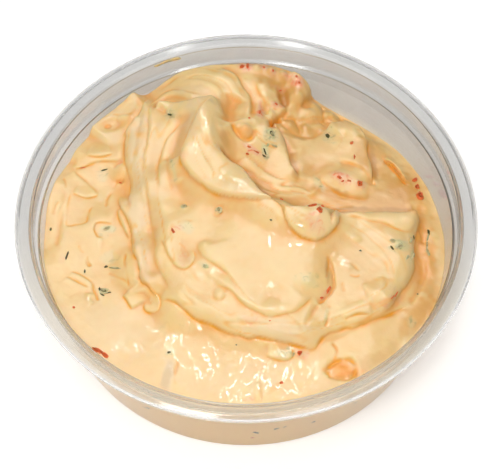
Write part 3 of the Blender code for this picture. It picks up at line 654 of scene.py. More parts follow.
lumps = {  # smooth lumps and hollows: x, y, half-length, half-width, height, and a turn in degrees
    "peakFace": (-10, 26.3, 6.5, 3, 1.5, 104), "pocketBlob": (-0.1, 28.4, 1.9, 1.6, 1.7, 60),
    "holeByTab": (6.8, 32.6, 0.8, 2.2, -1.2, 6), "pit": (23.6, -39.9, 4.2, 2.9, -0.7),
    "pitDome": (23.8, -40.2, 3.2, 2, 0.6), "backBump": (4.5, 44, 2.8, 3, 1.2),
    "redBump": (3.6, 36.6, 1.1, 2.6, 0.9, 8), "redBumpB": (7.6, 39.4, 1.5, 1.3, 1, 20),
    "paleTab": (6.6, 36.6, 0.9, 2.4, 1.1), "whiteBump": (5.2, 40.6, 1.9, 1.5, 0.9),
    "orangeBand": (0.4, 35.6, 0.8, 3.4, 0.6), "backBumpA": (14, 47, 2, 2.4, 1.5),
    "backBumpB": (10, 49, 1.5, 1.5, 1.6), "backBumpC": (6.6, 50, 1.5, 1.3, 1.5),
    "backBumpD": (2.8, 50.6, 1.6, 1.2, 1.4), "backBumpH": (-0.9, 51, 1.8, 1.3, 1),
    "backBumpI": (18.4, 43, 1.6, 2.6, 0.9), "backDark": (9.8, 43.2, 1.5, 2.6, -2.2, 10),
    "backBumpE": (12.8, 43.2, 1.5, 2.6, 1.2), "slopeLobeA": (11.6, 35.4, 1.6, 2, 0.9),
    "slopeLobeB": (15.8, 35.6, 1.5, 2.2, 0.9), "slopeSoft": (16, 26, 4.5, 3.5, 0.5, 20),
    "slopeDip": (17.6, 21, 3.4, 1.6, -0.3, 30), "backBumpF": (16.8, 39.8, 1.8, 2.2, 1.2, 30),
    "backBumpG": (23, 43, 2, 2.2, 1.1, -20), "backBumpJ": (27.6, 41, 1.8, 1.6, 0.8, -30),
    "backBumpK": (18.4, 36.4, 1.6, 1.4, 0.5), "redLump": (25.5, 18.2, 5.6, 3.4, 1.5, -14),
    "redLumpB": (29.6, 16.6, 1.7, 1.5, 0.8), "redLumpC": (23.8, 18.4, 1.8, 1.8, 0.5),
    "ringBubble": (-6.9, 2.6, 1.1, 1.1, 0.4), "ringBubbleB": (-6.6, -21.8, 1.6, 1.9, 0.5),
    "ringDent": (-6.3, -22.6, 2.3, 2.6, -0.25), "lobeBump": (15.5, -18.5, 2, 1.6, 0.2),
    "onionBump": (38, -5.6, 1.8, 1.4, 0.8, 30), "onionBumpB": (41.2, -3, 0.9, 2.2, 0.7, 20),
    "leftBumpA": (-27, 6, 1.3, 1.9, 0.4), "leftBumpB": (-27.2, -6.2, 1.4, 2.2, 0.6, -10),
    "tongue": (17, -1.5, 3.5, 3, 0.6), "dimple": (-35.5, 34, 3.5, 2, -0.7, 20),
    "leftPit": (-36.4, 33.8, 0.9, 0.6, -0.4, 20), "leftHole": (-32.5, 16.6, 0.9, 0.45, -1, -10),
    "leftKnob": (-32.8, 18.6, 1.9, 1.9, 0.6), "crumbA": (-10.4, -7.3, 0.9, 1, 0.4),
    "crumbB": (-15.8, 4.6, 1, 1, 0.3), "crumbC": (-17, 12.6, 1.1, 0.7, 0.3),
    "flapEnd": (-30.6, 43, 1.6, 1.6, 0.8), "frontBumpA": (13, -36, 1.5, 1.2, 0.3),
    "frontBumpB": (26, -35.6, 1.6, 1, 0.3), "frontBumpC": (-3.6, -39.8, 1.8, 1.4, 0.25),
    "lobeGlint": (28, -4.4, 1.2, 0.9, 0.35), "outerBump": (46.4, -6, 1.4, 3, 0.4),
}

tints = {  # where the cheese is wet, of another colour (green, pink) or painted with shade (amber, shade, mauve, tan): x, y, half-length, half-width, strength, and a turn
    "green": [
        (-19.6, 34, 2, 1.5, 0.7, -20), (21.8, 33, 1.7, 2.6, 0.7), (-18.6, 37.8, 2.6, 0.9, 0.6, -30),
        (15.5, -18.2, 2.4, 1.7, 0.5), (-34.4, -6.8, 2, 1.7, 0.5), (6.4, 28, 2.2, 1.5, 0.8, -30),
        (-15, -1.8, 2, 1.6, 0.6, -40), (10.2, -36.2, 2.2, 1.3, 0.7, 10), (19, 16.6, 2.4, 0.9, 0.7, -60),
        (37.6, -6, 1.8, 1.6, 0.5), (41.6, -25.4, 1, 1.8, 0.8), (-37.2, 19, 2, 1.6, 0.5),
        (-18.4, 15.8, 3.8, 0.5, 0.7, 100), (41.6, -7, 0.6, 2.6, 0.8, -12), (-18.6, -35.4, 1.2, 0.9, 0.8),
        (19.8, -26, 0.5, 1.8, 0.6, -15), (4.9, 23.4, 0.9, 1.7, 1.3, 10), (-10.4, -13.6, 1.4, 0.6, 0.6, -40),
        (-6.9, 2.6, 0.9, 0.9, 0.5), (-36.6, 0.6, 1.4, 1.6, 0.4), (-35.4, 1.8, 1.6, 1, 1, -10),
        (38.6, -5.6, 1.8, 1.4, 1, 10),
    ],
    "pink": [
        (13.2, -36.2, 1.8, 1.3, 0.9), (17.2, -2.6, 2.2, 2.4, 0.7), (16.6, 6.6, 2.6, 3, 0.4),
        (3.7, 36.2, 1, 3, 1.3), (7.6, 39.4, 1.4, 0.9, 1.2, 20), (24.2, 18, 2.6, 1.4, 1.2, -25),
        (29.6, 16.4, 1.3, 1, 0.9), (26.6, 17, 1.4, 1, 0.6), (-15.6, -10.6, 1.4, 2.2, 0.5, 20),
        (1.2, -28.7, 1.4, 1, 0.5), (-32.6, 21.8, 1, 0.9, 0.7), (35.6, -20.6, 2.6, 0.9, 0.6, 38),
        (19.8, -20.4, 1.9, 0.8, 0.7, 62), (0, 50.8, 2.4, 1.6, 1.4), (4.8, 51, 1, 1.4, 1.2),
        (7.2, 49.4, 0.9, 0.8, 1.2), (10.8, 48.8, 1.6, 1, 0.8), (13.6, 47.2, 1.2, 1.8, 1.3, 20),
        (1.8, 23.4, 2.8, 0.8, 1.3, -22), (-17.4, -2, 1.6, 1.2, 0.5), (9, 45.4, 2, 0.6, 0.6, 10),
        (-15.6, 17.4, 0.9, 0.8, 0.6), (0.5, -49, 1.4, 0.6, 0.5), (2, -26.6, 0.6, 0.4, 0.6),
        (-46.8, -7, 0.8, 1.2, 0.3),
    ],
    # painted warm shade in pits, slits, hollows and creases
    "amber": [
        (23.6, -39.9, 3.5, 2.3, 1.1), (-0.8, 27.6, 2, 1.4, 0.45, 50), (6.4, 33, 0.4, 2.6, 1.2, -4),
        (1.7, 35.6, 0.7, 3.2, 0.6), (-4.4, 32.6, 1.2, 3.2, 0.3), (-29.4, 35.4, 1.3, 3.6, 0.5, -30),
        (38.9, 22.9, 4, 0.5, 1.1, -56), (-31.6, 25, 0.7, 3.4, 0.5), (-32.6, 14, 1.8, 4.5, 0.3),
        (3.5, -47, 0.6, 3, 0.3), (7.2, -45.6, 2.2, 0.7, 0.3, 50), (-28.4, -2.6, 0.7, 3.5, 0.4, 10),
        (-28, 40.6, 1, 2, 0.5), (32.5, -25.5, 6, 0.9, 0.3, 28), (-36.4, 33.8, 1, 0.6, 0.4, 30),
        (46, -2, 2.6, 14, 0.4, 2), (44, -22, 3, 6, 0.3, -32),
    ],
    "shade": [
        (6.4, 32, 0.5, 1.8, 0.6, 8), (-19.6, -42.4, 1.2, 3.6, 0.35, -10), (-5.4, 24.6, 1, 2.6, 0.3, 14),
        (-2.6, 17.6, 4.5, 0.9, 0.8, -44), (3.6, 12.2, 4.4, 1, 0.8, -50), (9.4, 7, 3.4, 1.2, 0.7, -20),
        (27, 9.4, 7, 0.9, 0.7, 3), (38, 10, 6, 1, 0.6, 4), (12.2, 21.5, 0.9, 3.8, 0.6, 12),
        (10, 42.4, 1.2, 2.8, 0.9, 6), (33.4, 24, 0.9, 6, 0.6, 3), (12.5, 31.6, 3.4, 0.6, 0.5, -14),
        (44.4, -13, 0.7, 6, 0.3, -20), (20.4, -14.4, 0.5, 2.6, 0.6), (9, 27.4, 0.7, 2.6, 0.5, 16),
    ],
    "wet": [
        (-22, -27, 3, 4, 0.9), (-14, -33, 7, 6, 0.9, 30), (6, -43, 12, 6, 0.9), (-26, -34, 3, 4, 0.6),
        (-11.4, 27.6, 1.2, 2.2, 1), (-12.6, 19, 1.2, 2.6, 0.8, 20), (-24, -21, 1.4, 1.4, 0.8),
        (-38, -20, 3, 2, 0.4), (6, -20, 4, 2, 0.3), (34, -3, 2, 1.2, 0.5), (20, -40, 6, 3, 0.5),
        (-18, 4, 1, 3, 0.4), (36, -17, 1.6, 3, 0.6), (-18, -31, 4, 4.5, 1), (-11, -37, 4.5, 6.5, 1),
        (0, -42, 5.5, 7.5, 1), (10, -40, 5, 4, 1), (9.5, -7.6, 5.5, 2.2, 1.2, -8),
        (22.5, -6.4, 3.4, 1.8, 1.3, -10), (28, -4.4, 1.6, 1.4, 1), (0.7, 28.6, 0.7, 0.7, 1),
        (14, -43, 4, 2, 0.8, 20), (33, -11, 2, 1.6, 0.7), (-11, 27, 1.6, 2.4, 0.9),
        (0, 7, 8, 1.8, 0.7, -28), (17, -4, 5, 2, 0.7, 10), (4, -25, 7, 2, 0.6), (-10, -14, 3, 6, 0.5, 40),
        (31, -20, 3, 4, 0.6), (-32, -34, 3, 4, 0.5, 30), (-6.6, -22, 2.4, 2.8, 0.7),
        (26, -12.4, 3, 1.4, 0.6, -35),
    ],
    # mostly painted shade on slopes turned from the light; the grey-pink smear at the front is the cheese's
    # own
    "mauve": [
        (8, -31, 8, 2.6, 0.9, -8), (-13.6, 29, 2.6, 6, 0.9, -6), (-32, -28, 11, 8, 0.4),
        (-4, -44, 14, 5, 0.3), (-28, 27, 2.6, 13, 0.9), (-27.2, 6, 2.4, 11, 0.9, -4),
        (-25.6, -9, 1.8, 8, 0.8, 6), (-16.2, 27, 1.6, 9, 0.5, -12), (-13, 37.4, 5, 2, 0.8, 10),
        (-19, 25, 1, 7, 0.3, -8), (-22.5, 14, 3, 14, 0.4), (-19.2, -41.6, 1.5, 4.6, 1.1, -8),
        (-15, 42, 6, 1.6, 0.5, -14), (2, 5, 7, 1.4, 0.6, -30), (-36, 30, 4, 2, 0.4),
        (-35, 37.6, 3.4, 2, 0.4, -20),
    ],
    # painted shade in the valleys and on slopes at the back and the right
    "tan": [
        (24, -13, 8, 6, 0.25, -20), (46.6, -6, 2.6, 13, 0.7, 4), (43.8, -23, 3.2, 7, 0.6, -32),
        (36, 12, 9, 2.4, 0.8), (46, 14, 3, 10, 0.5, 10), (27, 10.5, 9, 2, 0.5, 3),
        (12.4, 24, 1.6, 7, 0.5, 10), (-3.8, 34, 1.5, 5.4, 0.4, 3), (9, 46.8, 7, 3, 1, -14),
        (-1.6, 35.5, 1.6, 3.6, 0.3), (12.6, 40, 4, 6, 0.4), (24, 40, 9, 3.2, 0.55, -22),
        (35.5, 27, 3.4, 9, 0.6, 18), (40.5, 17, 5.4, 5.6, 1.2), (13.4, 34.6, 5, 3, 0.9, -10),
        (16, 22, 5, 4, 0.5, 20), (30, 26, 1.8, 6, 0.9, 4), (22.4, 13.6, 5, 1.6, 1.1, -20),
        (10.7, 24, 1, 5, 0.8, 8), (7, 9, 2.2, 4, 0.6, 30), (-4, 24, 1.6, 4, 0.5, 10),
        (2, 14.5, 6, 1, 0.4, -48), (9.6, 44, 2, 1.6, 0.6), (30, -38, 8, 1.8, 0.4, 32), (12, 7, 5, 3, 0.4),
        (-23, -6, 1.2, 9, 0.25, 4), (-23.6, -15, 3, 3, 0.35),
    ],
}


def innerRadius(level):
    # the ledge's radius, and below the ledge less by the taper for each millimetre down
    return tub["ledgeRadius"] + tub["taper"] * (np.minimum(level, tub["ledgeLevel"]) - tub["ledgeLevel"])


def broadLevel(x, y):
    # the spots' levels and the wall's, each weighted by a bell curve of its distance
    total, weights = np.zeros(x.shape), np.full(x.shape, 1e-12)
    for reach, places in spots.values():
        for sx, sy, level in places:
            w = np.exp(-((x - sx) ** 2 + (y - sy) ** 2) / (2 * reach**2))
            total += w * level
            weights += w
    wallReach = 3
    inside = np.clip(tub["ledgeRadius"] - np.hypot(x, y), 0, None)
    w = np.exp(-(inside**2) / (2 * wallReach**2))
    total += w * np.interp(np.degrees(np.arctan2(y, x)), *zip(*wallLevels))
    return total / (weights + w)


def foldAt(x, y, kind, path, form, seed):
    # away is the signed distance from the curve; every kind dies away towards both ends of it.
    # step: up a quarter-round lip from the low side, then down again as a bell curve; its points move
    #   towards the low side as far as they stand high
    # groove: -depth e^-(away/width)^2    ridge: rise e^-(away/side)^2    crest: rise e^-|away/side|
    # strands: noise drawn out along the curve, inside e^-(away/width)^4
    away, leftX, leftY, share, length = besidePath(x, y, path)
    end = form.get("end", 0.12)
    taper = smoothStep(share / end) * smoothStep((1 - share) / end)
    # a little uneven along its way, and its fine lines come and go
    taper = taper * (0.9 + 0.12 * softNoise(share * length, np.zeros(x.shape), 8.0, seed))
    faint = np.clip(0.65 + 0.8 * softNoise(share * length, np.ones(x.shape), 2.0, seed), 0, 1.2)
    push = np.zeros(x.shape)
    width = form.get("width", 0.5)
    cut = form.get("groove", 0) * np.exp(-((away / width) ** 2)) * (faint if width < 0.6 else 1)
    over = form.get("over", 0)
    if kind == "step":
        rise, drop, lip = form["rise"], form.get("drop", 0), form["lip"]
        climb = np.sqrt(np.clip(1 - (1 - np.clip(away / lip, 0, 1)) ** 2, 0, 1))
        foot = -drop * np.exp(-((away / form.get("low", 1)) ** 2))
        level = np.where(away < 0, foot, (rise + drop) * climb - drop)
        level = np.where(away > lip, rise * np.exp(-(((away - lip) / form["reach"]) ** 2)), level) - cut
        push = over * climb * np.exp(-((np.clip(away - lip, 0, None) / (lip + 0.8)) ** 2)) * taper
    elif kind == "groove":
        level = -cut
    elif kind == "strands":
        drawn = softNoise(away, share * length / 7, form["between"], seed)  # seven times as long as wide
        inside = np.exp(-((away / form["width"]) ** 4))
        seamWidth = 0.13  # a seam runs wherever the noise crosses zero
        seam = np.exp(-((drawn / seamWidth) ** 2)) * inside
        level = form["rise"] * (0.7 * drawn * inside - 0.45 * seam)
    else:
        side = np.where(away > 0, away / form["left"], -away / form["right"])
        level = form["rise"] * (np.exp(-(side**2)) if kind == "ridge" else np.exp(-side))
    # painted shade along the fold's foot and the strands' seams, as strong as its tone
    if kind == "strands":
        creaseShade = 0.6 * seam * taper * faint
    else:
        tone = form.get("tone", 1 if kind in ("step", "groove") else 0)
        line = form.get("line", 0.26) + np.where(away < 0, 0.6 * over, 0)  # wider under an overhang
        creaseShade = tone * np.exp(-((away / line) ** 2)) * taper * faint
    return level * taper, -leftX * push, -leftY * push, creaseShade


def lumpAt(x, y, middleX, middleY, halfLength, halfWidth, height, turn=0):
    # an oval bell, height e^-1.2r^2, or a flat-floored dish, height e^-r^4, where the height is negative
    along, across = inOval(x, y, middleX, middleY, halfLength, halfWidth, turn)
    r2 = along**2 + across**2
    return height * np.exp(-(r2**2) if height < 0 else -1.2 * r2)


def tintAt(x, y, kind):
    # each oval is full inside and fades smoothly near its edge, which wavers
    mask = np.zeros(x.shape)
    waver = 1 + 0.35 * softNoise(x, y, 1.4, 31)
    for middleX, middleY, halfLength, halfWidth, strength, *turn in tints[kind]:
        r = np.hypot(*inOval(x, y, middleX, middleY, halfLength, halfWidth, *(turn or [0])))
        mask = np.maximum(mask, strength * smoothStep(1.5 - r * waver))
    return mask


def creamSurface(x, y):
    # level, sideways push and painted shade along creases of the cheese's top at each x, y: the broad level,
    #     # and on it the folds, the lumps and the undulations added up
    level = broadLevel(x, y)
    pushX, pushY, creaseShade = np.zeros(x.shape), np.zeros(x.shape), np.zeros(x.shape)
    waverX = x + sum(reach * softNoise(x, y, size, seed) for size, reach, seed in cream["wavers"])
    waverY = y + sum(reach * softNoise(x, y, size, seed + 50) for size, reach, seed in cream["wavers"])
    for seed, (kind, path, form) in enumerate(folds.values(), 100):
        # only the points round the fold's own box are worked out
        p = np.array(path, float)
        far = 3 * max(form.get(k, 0) for k in ("reach", "low", "width", "left", "right")) + 2
        near = (x > p[:, 0].min() - far) & (x < p[:, 0].max() + far)
        near &= (y > p[:, 1].min() - far) & (y < p[:, 1].max() + far)
        if not near.any():
            continue
        dz, dx, dy, tone = foldAt(waverX[near], waverY[near], kind, path, form, seed)
        level[near] += dz
        pushX[near] += dx
        pushY[near] += dy
        creaseShade[near] = np.maximum(creaseShade[near], tone)
    for lump in lumps.values():
        level += lumpAt(x, y, *lump)
    for size, height, seed in cream["undulations"]:
        level += height * softNoise(x, y, size, seed)
    return level, pushX, pushY, creaseShade


def blurred(level, size):
    # weights e^(-(i/size)^2 / 2) over the grid's neighbours, along one axis and then the other
    reach = int(3 * size)
    weights = np.exp(-0.5 * (np.arange(-reach, reach + 1) / size) ** 2)
    weights /= weights.sum()
    for _ in range(2):
        wide = np.pad(level, ((reach, reach), (0, 0)), "edge")
        level = sum(w * wide[i:i + len(level)] for i, w in enumerate(weights)).T
    return level


def creamMaterial():
    # two tones in slow noise, the layers by their masks, of which most are painted shade and two painted
    # light,
    #     # and flecks where the fleck noise is high; a thin coat glints along the loops where the cheese is
    #     wet
    material, tree, shader = newMaterial(
        "creamCheese", Roughness=0.4, Specular_IOR_Level=0.1, Subsurface_Weight=0.55,
        Subsurface_Radius=(1.0, 0.6, 0.3), Subsurface_Scale=0.6 * mm, Coat_Roughness=0.03, Coat_IOR=1.8)
    surface, calm = placeMoist(tree, 1.8, 0.05), placeMoist(tree, 1.5, 0.05)
    glints = calc(tree, "MULTIPLY", calc(tree, "MULTIPLY", maskFrom(tree, "wet"), surface["loops"]), 0.9)
    color = mixColors(tree, surface["slow"], *cream["colors"])
    for name, tint, strength in cream["layers"]:
        color = mixColors(tree, calc(tree, "MULTIPLY", maskFrom(tree, name), strength), color, tint)
    for name, tint in cream["flecks"]:
        fleck = calc(tree, "MULTIPLY", maskFrom(tree, name), above(tree, surface["fleck"], 0.54, 4.0))
        color = mixColors(tree, fleck, color, tint)
    feed(shader, Base_Color=color, Normal=calm["Normal"], Coat_Normal=surface["Normal"],
         Coat_Weight=calc(tree, "ADD", 0.03, glints))
    return material


def buildCream():
    # a square grid pulled into a disc (x = u sqrt(1 - v^2/2), y = v sqrt(1 - u^2/2)), lifted to the
    # surface's level, then carried down the wall in rings and closed with a fan at the floor
    n, intoWall = cream["steps"], cream["intoWall"]
    u, v = np.meshgrid(np.linspace(-1, 1, n + 1), np.linspace(-1, 1, n + 1), indexing="ij")
    diskX, diskY = u * np.sqrt(1 - v**2 / 2), v * np.sqrt(1 - u**2 / 2)
    edge = np.hypot(diskX, diskY)
    reach = tub["ledgeRadius"] + intoWall
    level, pushX, pushY, creaseShade = creamSurface(diskX * reach, diskY * reach)
    # no more than 9 mm up, and from 0.9 of the radius outwards ever lower, to 0.3 mm under the ledge
    level = np.minimum(level, np.interp(edge, [0.9, 1], [9, tub["ledgeLevel"] - 0.3]))
    radius = reach + edge**12 * (innerRadius(level) - tub["ledgeRadius"])
    calm = smoothStep((1 - edge) / 0.06)  # the sideways push dies away towards the wall
    top = np.stack([diskX * radius + pushX * calm, diskY * radius + pushY * calm, level], -1).reshape(-1, 3)
    k = np.arange(n)
    rim = np.concatenate([k * (n + 1), n * (n + 1) + k, (n - k) * (n + 1) + n, n - k])
    rimTop = top[rim]
    around = rimTop[:, :2] / np.hypot(*rimTop[:, :2].T)[:, None]
    floor = tub["floor"] - tub["rimLine"] - intoWall
    corner = tub["footRound"] + intoWall
    rings = []
    for share in np.linspace(0, 1, cream["sideRings"] + 1)[1:]:
        z = rimTop[:, 2] + share * (floor + corner - rimTop[:, 2])
        rings.append((z, innerRadius(z) + intoWall))
    foot = rings[-1][1]
    for angle in np.radians([30, 60, 90]):  # round the tub's foot
        rings.append((np.full(len(rim), floor + corner - corner * math.sin(angle)),
                      foot - corner + corner * math.cos(angle)))
    side = np.vstack([np.column_stack([around * r[:, None], z]) for z, r in rings])
    points = np.vstack([top, side, [(0, 0, floor)]])
    i, j = np.meshgrid(k, k, indexing="ij")
    a = i * (n + 1) + j
    topFaces = np.stack([a, a + n + 1, a + n + 2, a + 1], -1).reshape(-1, 4)
    loops = np.vstack([rim, len(top) + np.arange(len(side)).reshape(len(rings), -1)])
    upper, lower, last = loops[:-1], loops[1:], loops[-1]
    sideFaces = np.stack([upper, lower, np.roll(lower, -1, 1), np.roll(upper, -1, 1)], -1).reshape(-1, 4)
    fan = np.stack([np.roll(last, -1), last, np.full(len(last), len(points) - 1)], -1)
    faces = topFaces.tolist() + sideFaces.tolist() + fan.tolist()
    # sunk and swollen: how far the surface lies under or over its own blurred level, painted as shade in
    #     # the hollows and as light on the rises
    sunk = sum(weight * (blurred(level, size) - level) for size, weight in cream["hollows"])
    masks = {"creaseShade": creaseShade, "sunk": np.clip(sunk, 0, 1), "swollen": np.clip(-sunk, 0, 1)}
    masks |= {kind: tintAt(diskX * reach, diskY * reach, kind) for kind in tints}
    masks = {kind: np.concatenate([m.ravel(), np.zeros(len(side) + 1)]) for kind, m in masks.items()}
    # side: painted light, the cheese's sides seen through the plastic made lighter and warmer
    masks["side"] = np.concatenate([np.zeros(len(top)), np.ones(len(side) + 1)])
    return makeMesh("cream_cheese_spread", points, faces, creamMaterial(), masks)


spread = buildCream()
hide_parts("cream_cheese")
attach(spread, "root")
print("cream cheese spread")


# Bits in the cheese

pepper = {
    "material": "redPepper",
    "dark": (0.70, 0.07, 0.02), "light": (1.0, 0.30, 0.09), "roughness": 0.35,
    "atWall": 26,  # how many are seen through the wall
    "wallSeed": 41,  # of their places there
    "seed": 51,  # of every bit's unevenness
    "places": [  # x, y, length, width, height, and a turn in degrees
        (-37.1, -34.1, 2.2, 1, 0.8, -30), (-34.8, -35.6, 1.5, 0.9, 0.7, -35), (-36, -34.6, 1, 0.7, 0.6, 10),
        (-1, 50.6, 1.2, 0.7, 0.4, 20), (0.4, 51, 0.6, 1.4, 0.4), (4.7, 50.9, 0.6, 0.9, 0.3, 20),
        (7.1, 49.5, 0.6, 0.5, 0.3), (13.2, 48, 0.6, 0.5, 0.3, -30), (13.8, 46.7, 0.7, 0.5, 0.3, -60),
        (9, 45.2, 1.2, 0.4, 0.3, 10), (3.6, 35.6, 0.5, 1.2, 0.3, -10), (7.9, 39.5, 0.8, 0.5, 0.3, -20),
        (0.3, 22.2, 0.7, 0.6, 0.5), (0.9, 23.9, 1, 0.4, 0.3, -14), (2.7, 23, 1.2, 0.35, 0.3, -22),
        (27.6, 29.4, 0.7, 0.9, 0.5), (28.2, 24.9, 0.4, 1.1, 0.4), (24.2, 17.6, 0.9, 0.6, 0.4, -40),
        (25, 16.8, 0.6, 0.4, 0.3, 20), (26.6, 16.9, 0.9, 0.5, 0.3), (29.4, 16.3, 1.3, 1.2, 0.5),
        (18.7, -0.1, 1.3, 1.2, 0.7, 20), (16.8, 0.5, 2.4, 0.6, 0.4, 18), (19.6, 1.4, 1, 0.8, 0.5, 40),
        (13.2, -36.2, 1.1, 0.9, 0.6, 30), (20.6, -19, 2, 0.6, 0.5, 62), (18.9, -21.4, 1, 0.5, 0.4, 20),
        (37.1, -18.7, 2.2, 0.35, 0.4, 38), (-18.3, -2.7, 1.4, 0.6, 0.5, -60), (-43.1, -21.6, 0.6, 0.5, 0.4),
        (8.7, -44.2, 0.7, 0.5, 0.4, 20), (0.8, 31.8, 0.5, 0.35, 0.3, 10), (44.2, 20.8, 0.8, 1.8, 0.5, -35),
        (44.6, 18.2, 1, 1.4, 0.5), (45.2, 15.2, 1.6, 2.1, 0.7, 10), (-42.7, 21.4, 1.8, 0.3, 0.3, 10),
        (36, -20.1, 1.4, 0.3, 0.3, 35), (9.1, 9.4, 0.7, 0.5, 0.4), (6, -28.9, 0.4, 0.3, 0.3),
        (-32.4, 16.7, 1.3, 0.3, 0.3, -8),
    ],
}
herb = {
    "material": "darkHerb",
    "dark": (0.03, 0.028, 0.008), "light": (0.21, 0.185, 0.06), "roughness": 0.5,
    "atWall": 20, "wallSeed": 42, "seed": 52,
    "places": [
        (-45.5, -5.9, 2, 0.4, 0.4, 76), (-35.5, -9.3, 0.8, 0.5, 0.4), (-19.7, 34.1, 1, 0.5, 0.4, -25),
        (4.8, 23.6, 1.4, 0.4, 0.3, -65), (4.6, 22.4, 1, 0.4, 0.3, -30), (21.4, 33, 1.8, 0.8, 0.4, -75),
        (28.8, -7.7, 0.5, 0.4, 0.3), (-19, -35.4, 0.7, 0.45, 0.3, 20), (6.2, -2, 0.5, 0.35, 0.3),
        (36.7, -6.6, 1, 0.45, 0.3, -60), (43.3, -16.1, 0.4, 0.35, 0.3), (46.9, 3.6, 0.5, 1.4, 0.3, 10),
        (-36.8, 20.3, 1.9, 0.4, 0.35, 12), (-40.8, -10.5, 0.35, 0.8, 0.3),
        (-34.5, -17.1, 1.3, 0.3, 0.3, 12), (-36.9, -16, 0.4, 1, 0.3, 10), (-36.2, -17.6, 1, 0.3, 0.3, -30),
        (-50, 2.6, 0.4, 0.7, 0.3), (42.3, -0.6, 0.3, 0.9, 0.3, 20), (-2.4, -34.4, 0.3, 0.25, 0.25),
    ],
}
onion = {
    "material": "paleOnion",
    "dark": (0.50, 0.43, 0.20), "light": (0.90, 0.78, 0.46), "roughness": 0.3,
    "atWall": 14, "wallSeed": 43, "seed": 53,
    "places": [
        (-35.6, 1.9, 1.5, 0.8, 0.35, 12), (-33.2, -10.1, 3.6, 0.6, 0.4, -18),
        (-35.8, -16.5, 2.2, 1.4, 0.5, -10), (6.4, 28.4, 2.8, 1.7, 0.6, -35), (38.4, -6.2, 1.7, 1, 0.45, 20),
        (41.3, -2.8, 0.8, 2.8, 0.6, -14), (41.9, -6.6, 0.6, 2.8, 0.5, -16),
        (-10.2, -13.7, 1.2, 0.7, 0.4, -30), (7.2, 25.4, 1.4, 0.5, 0.4, -20),
        (11.6, -36.4, 1.2, 0.8, 0.5, 50), (-15.8, 4.6, 1.2, 1.2, 0.4), (-6.9, 2.6, 1.3, 1.3, 0.5),
        (5.6, 25.4, 1, 0.6, 0.4, 60), (46.6, 1.6, 0.5, 2.2, 0.4, -12), (46.3, -0.6, 0.4, 2.2, 0.4, -4),
        (46.5, -2.8, 0.6, 1.8, 0.4, 12), (36.9, -4.6, 1.5, 0.8, 0.4, -25), (40.2, -8.4, 1.4, 0.7, 0.4, 50),
    ],
}
smears = {  # cheese on the back wall just under the mouth
    "seed": 54,
    "places": [],
    "onBand": [  # degrees round from +X, level, then like the bits
        (110.6, -0.7, 3.4, 0.9, 0.5, 4), (113.4, -0.55, 3.2, 0.7, 0.4, -3), (115.8, -0.8, 1.8, 0.6, 0.4, 8),
    ],
}


def surfacePoint(x, y, reach=0.25):
    # the point of the cheese's top above x, y and its upward normal (-slope in x, -slope in y, 1), from the
    # levels a reach away each way
    gx, gy = np.array([x, x + reach, x - reach, x, x]), np.array([y, y, y, y + reach, y - reach])
    level, pushX, pushY, _ = creamSurface(gx, gy)
    normal = np.array([(level[2] - level[1]) / (2 * reach), (level[4] - level[3]) / (2 * reach), 1.0])
    return np.array([x + pushX[0], y + pushY[0], level[0]]), normal / np.linalg.norm(normal)


def ballShape(rows=6, columns=9):
    # a closed ball of quads with a fan at each pole: sin and cos of the way down, times those of the turn
    down = np.linspace(0, pi, rows + 1)[1:-1]
    turn = np.arange(columns) * 2 * pi / columns
    ring = np.stack([np.outer(np.sin(down), np.cos(turn)), np.outer(np.sin(down), np.sin(turn)),
                     np.repeat(np.cos(down)[:, None], columns, 1)], -1).reshape(-1, 3)
    points = np.vstack([ring, [(0, 0, 1), (0, 0, -1)]])
    last = (rows - 2) * columns
    faces = quadRows(rows - 1, columns).tolist()
    faces += [(len(ring), j, (j + 1) % columns) for j in range(columns)]
    faces += [(len(ring) + 1, last + (j + 1) % columns, last + j) for j in range(columns)]
    return points, faces


def wallBits(bits):
    # bits lying against the wall all round, seen through the plastic, at random between the floor and the
    # cheese's edge
    random = np.random.default_rng(bits["wallSeed"])
    overFloor, underEdge = 2.5, 1.5
    low = tub["floor"] - tub["rimLine"] + overFloor
    places = []
    for _ in range(bits["atWall"]):
        turn, share = random.uniform(0, 2 * pi), random.uniform(0.06, 0.94)
        high = np.interp((math.degrees(turn) + 180) % 360 - 180, *zip(*wallLevels)) - underEdge
        # length, width, height and turn
        size = random.uniform(0.5, 1.9), random.uniform(0.4, 1.1), 0.5, random.uniform(0, 180)
        places.append((math.degrees(turn), low + share * (high - low), *size))
    return places


def buildBits(name, bits, sidePlaces, material):
    # each bit is the ball stretched to its size, its points moved in and out, to between 0.8 and 1.7 of
    # their distance, turned in the surface and sunk to its middle
    random = np.random.default_rng(bits["seed"])
    ball, ballFaces = ballShape()
    points, faces = [], []

    def lay(centre, normal, along, length, width, height):
        axes = np.stack([along * length / 2, np.cross(normal, along) * width / 2, normal * height / 2])
        rough = ball * (1.25 + random.uniform(-0.45, 0.45, (len(ball), 1)))
        faces.extend([[i + len(ball) * len(points) for i in f] for f in ballFaces])
        points.append(centre + rough @ axes)

    for x, y, length, width, height, *turn in bits["places"]:
        centre, normal = surfacePoint(x, y)
        a = math.radians(turn[0] if turn else 0)
        along = np.array([math.cos(a), math.sin(a), 0])
        along = along - normal * (along @ normal)
        lay(centre, normal, along / np.linalg.norm(along), length, width, height)
    for around, level, length, width, height, turn in sidePlaces:
        a, turn = math.radians(around), math.radians(turn)
        normal = np.array([math.cos(a), math.sin(a), 0])
        along = np.array([-normal[1] * math.cos(turn), normal[0] * math.cos(turn), math.sin(turn)])
        # against the leaning wall, or on the band above the ledge
        radius = float(innerRadius(level)) + cream["intoWall"] - 0.3 * height
        if level > tub["ledgeLevel"]:
            radius = tub["mouthRadius"] - 0.1
        lay(normal * radius + (0, 0, level), normal, along, length, width, height)
    return makeMesh(name, np.vstack(points), faces, material)


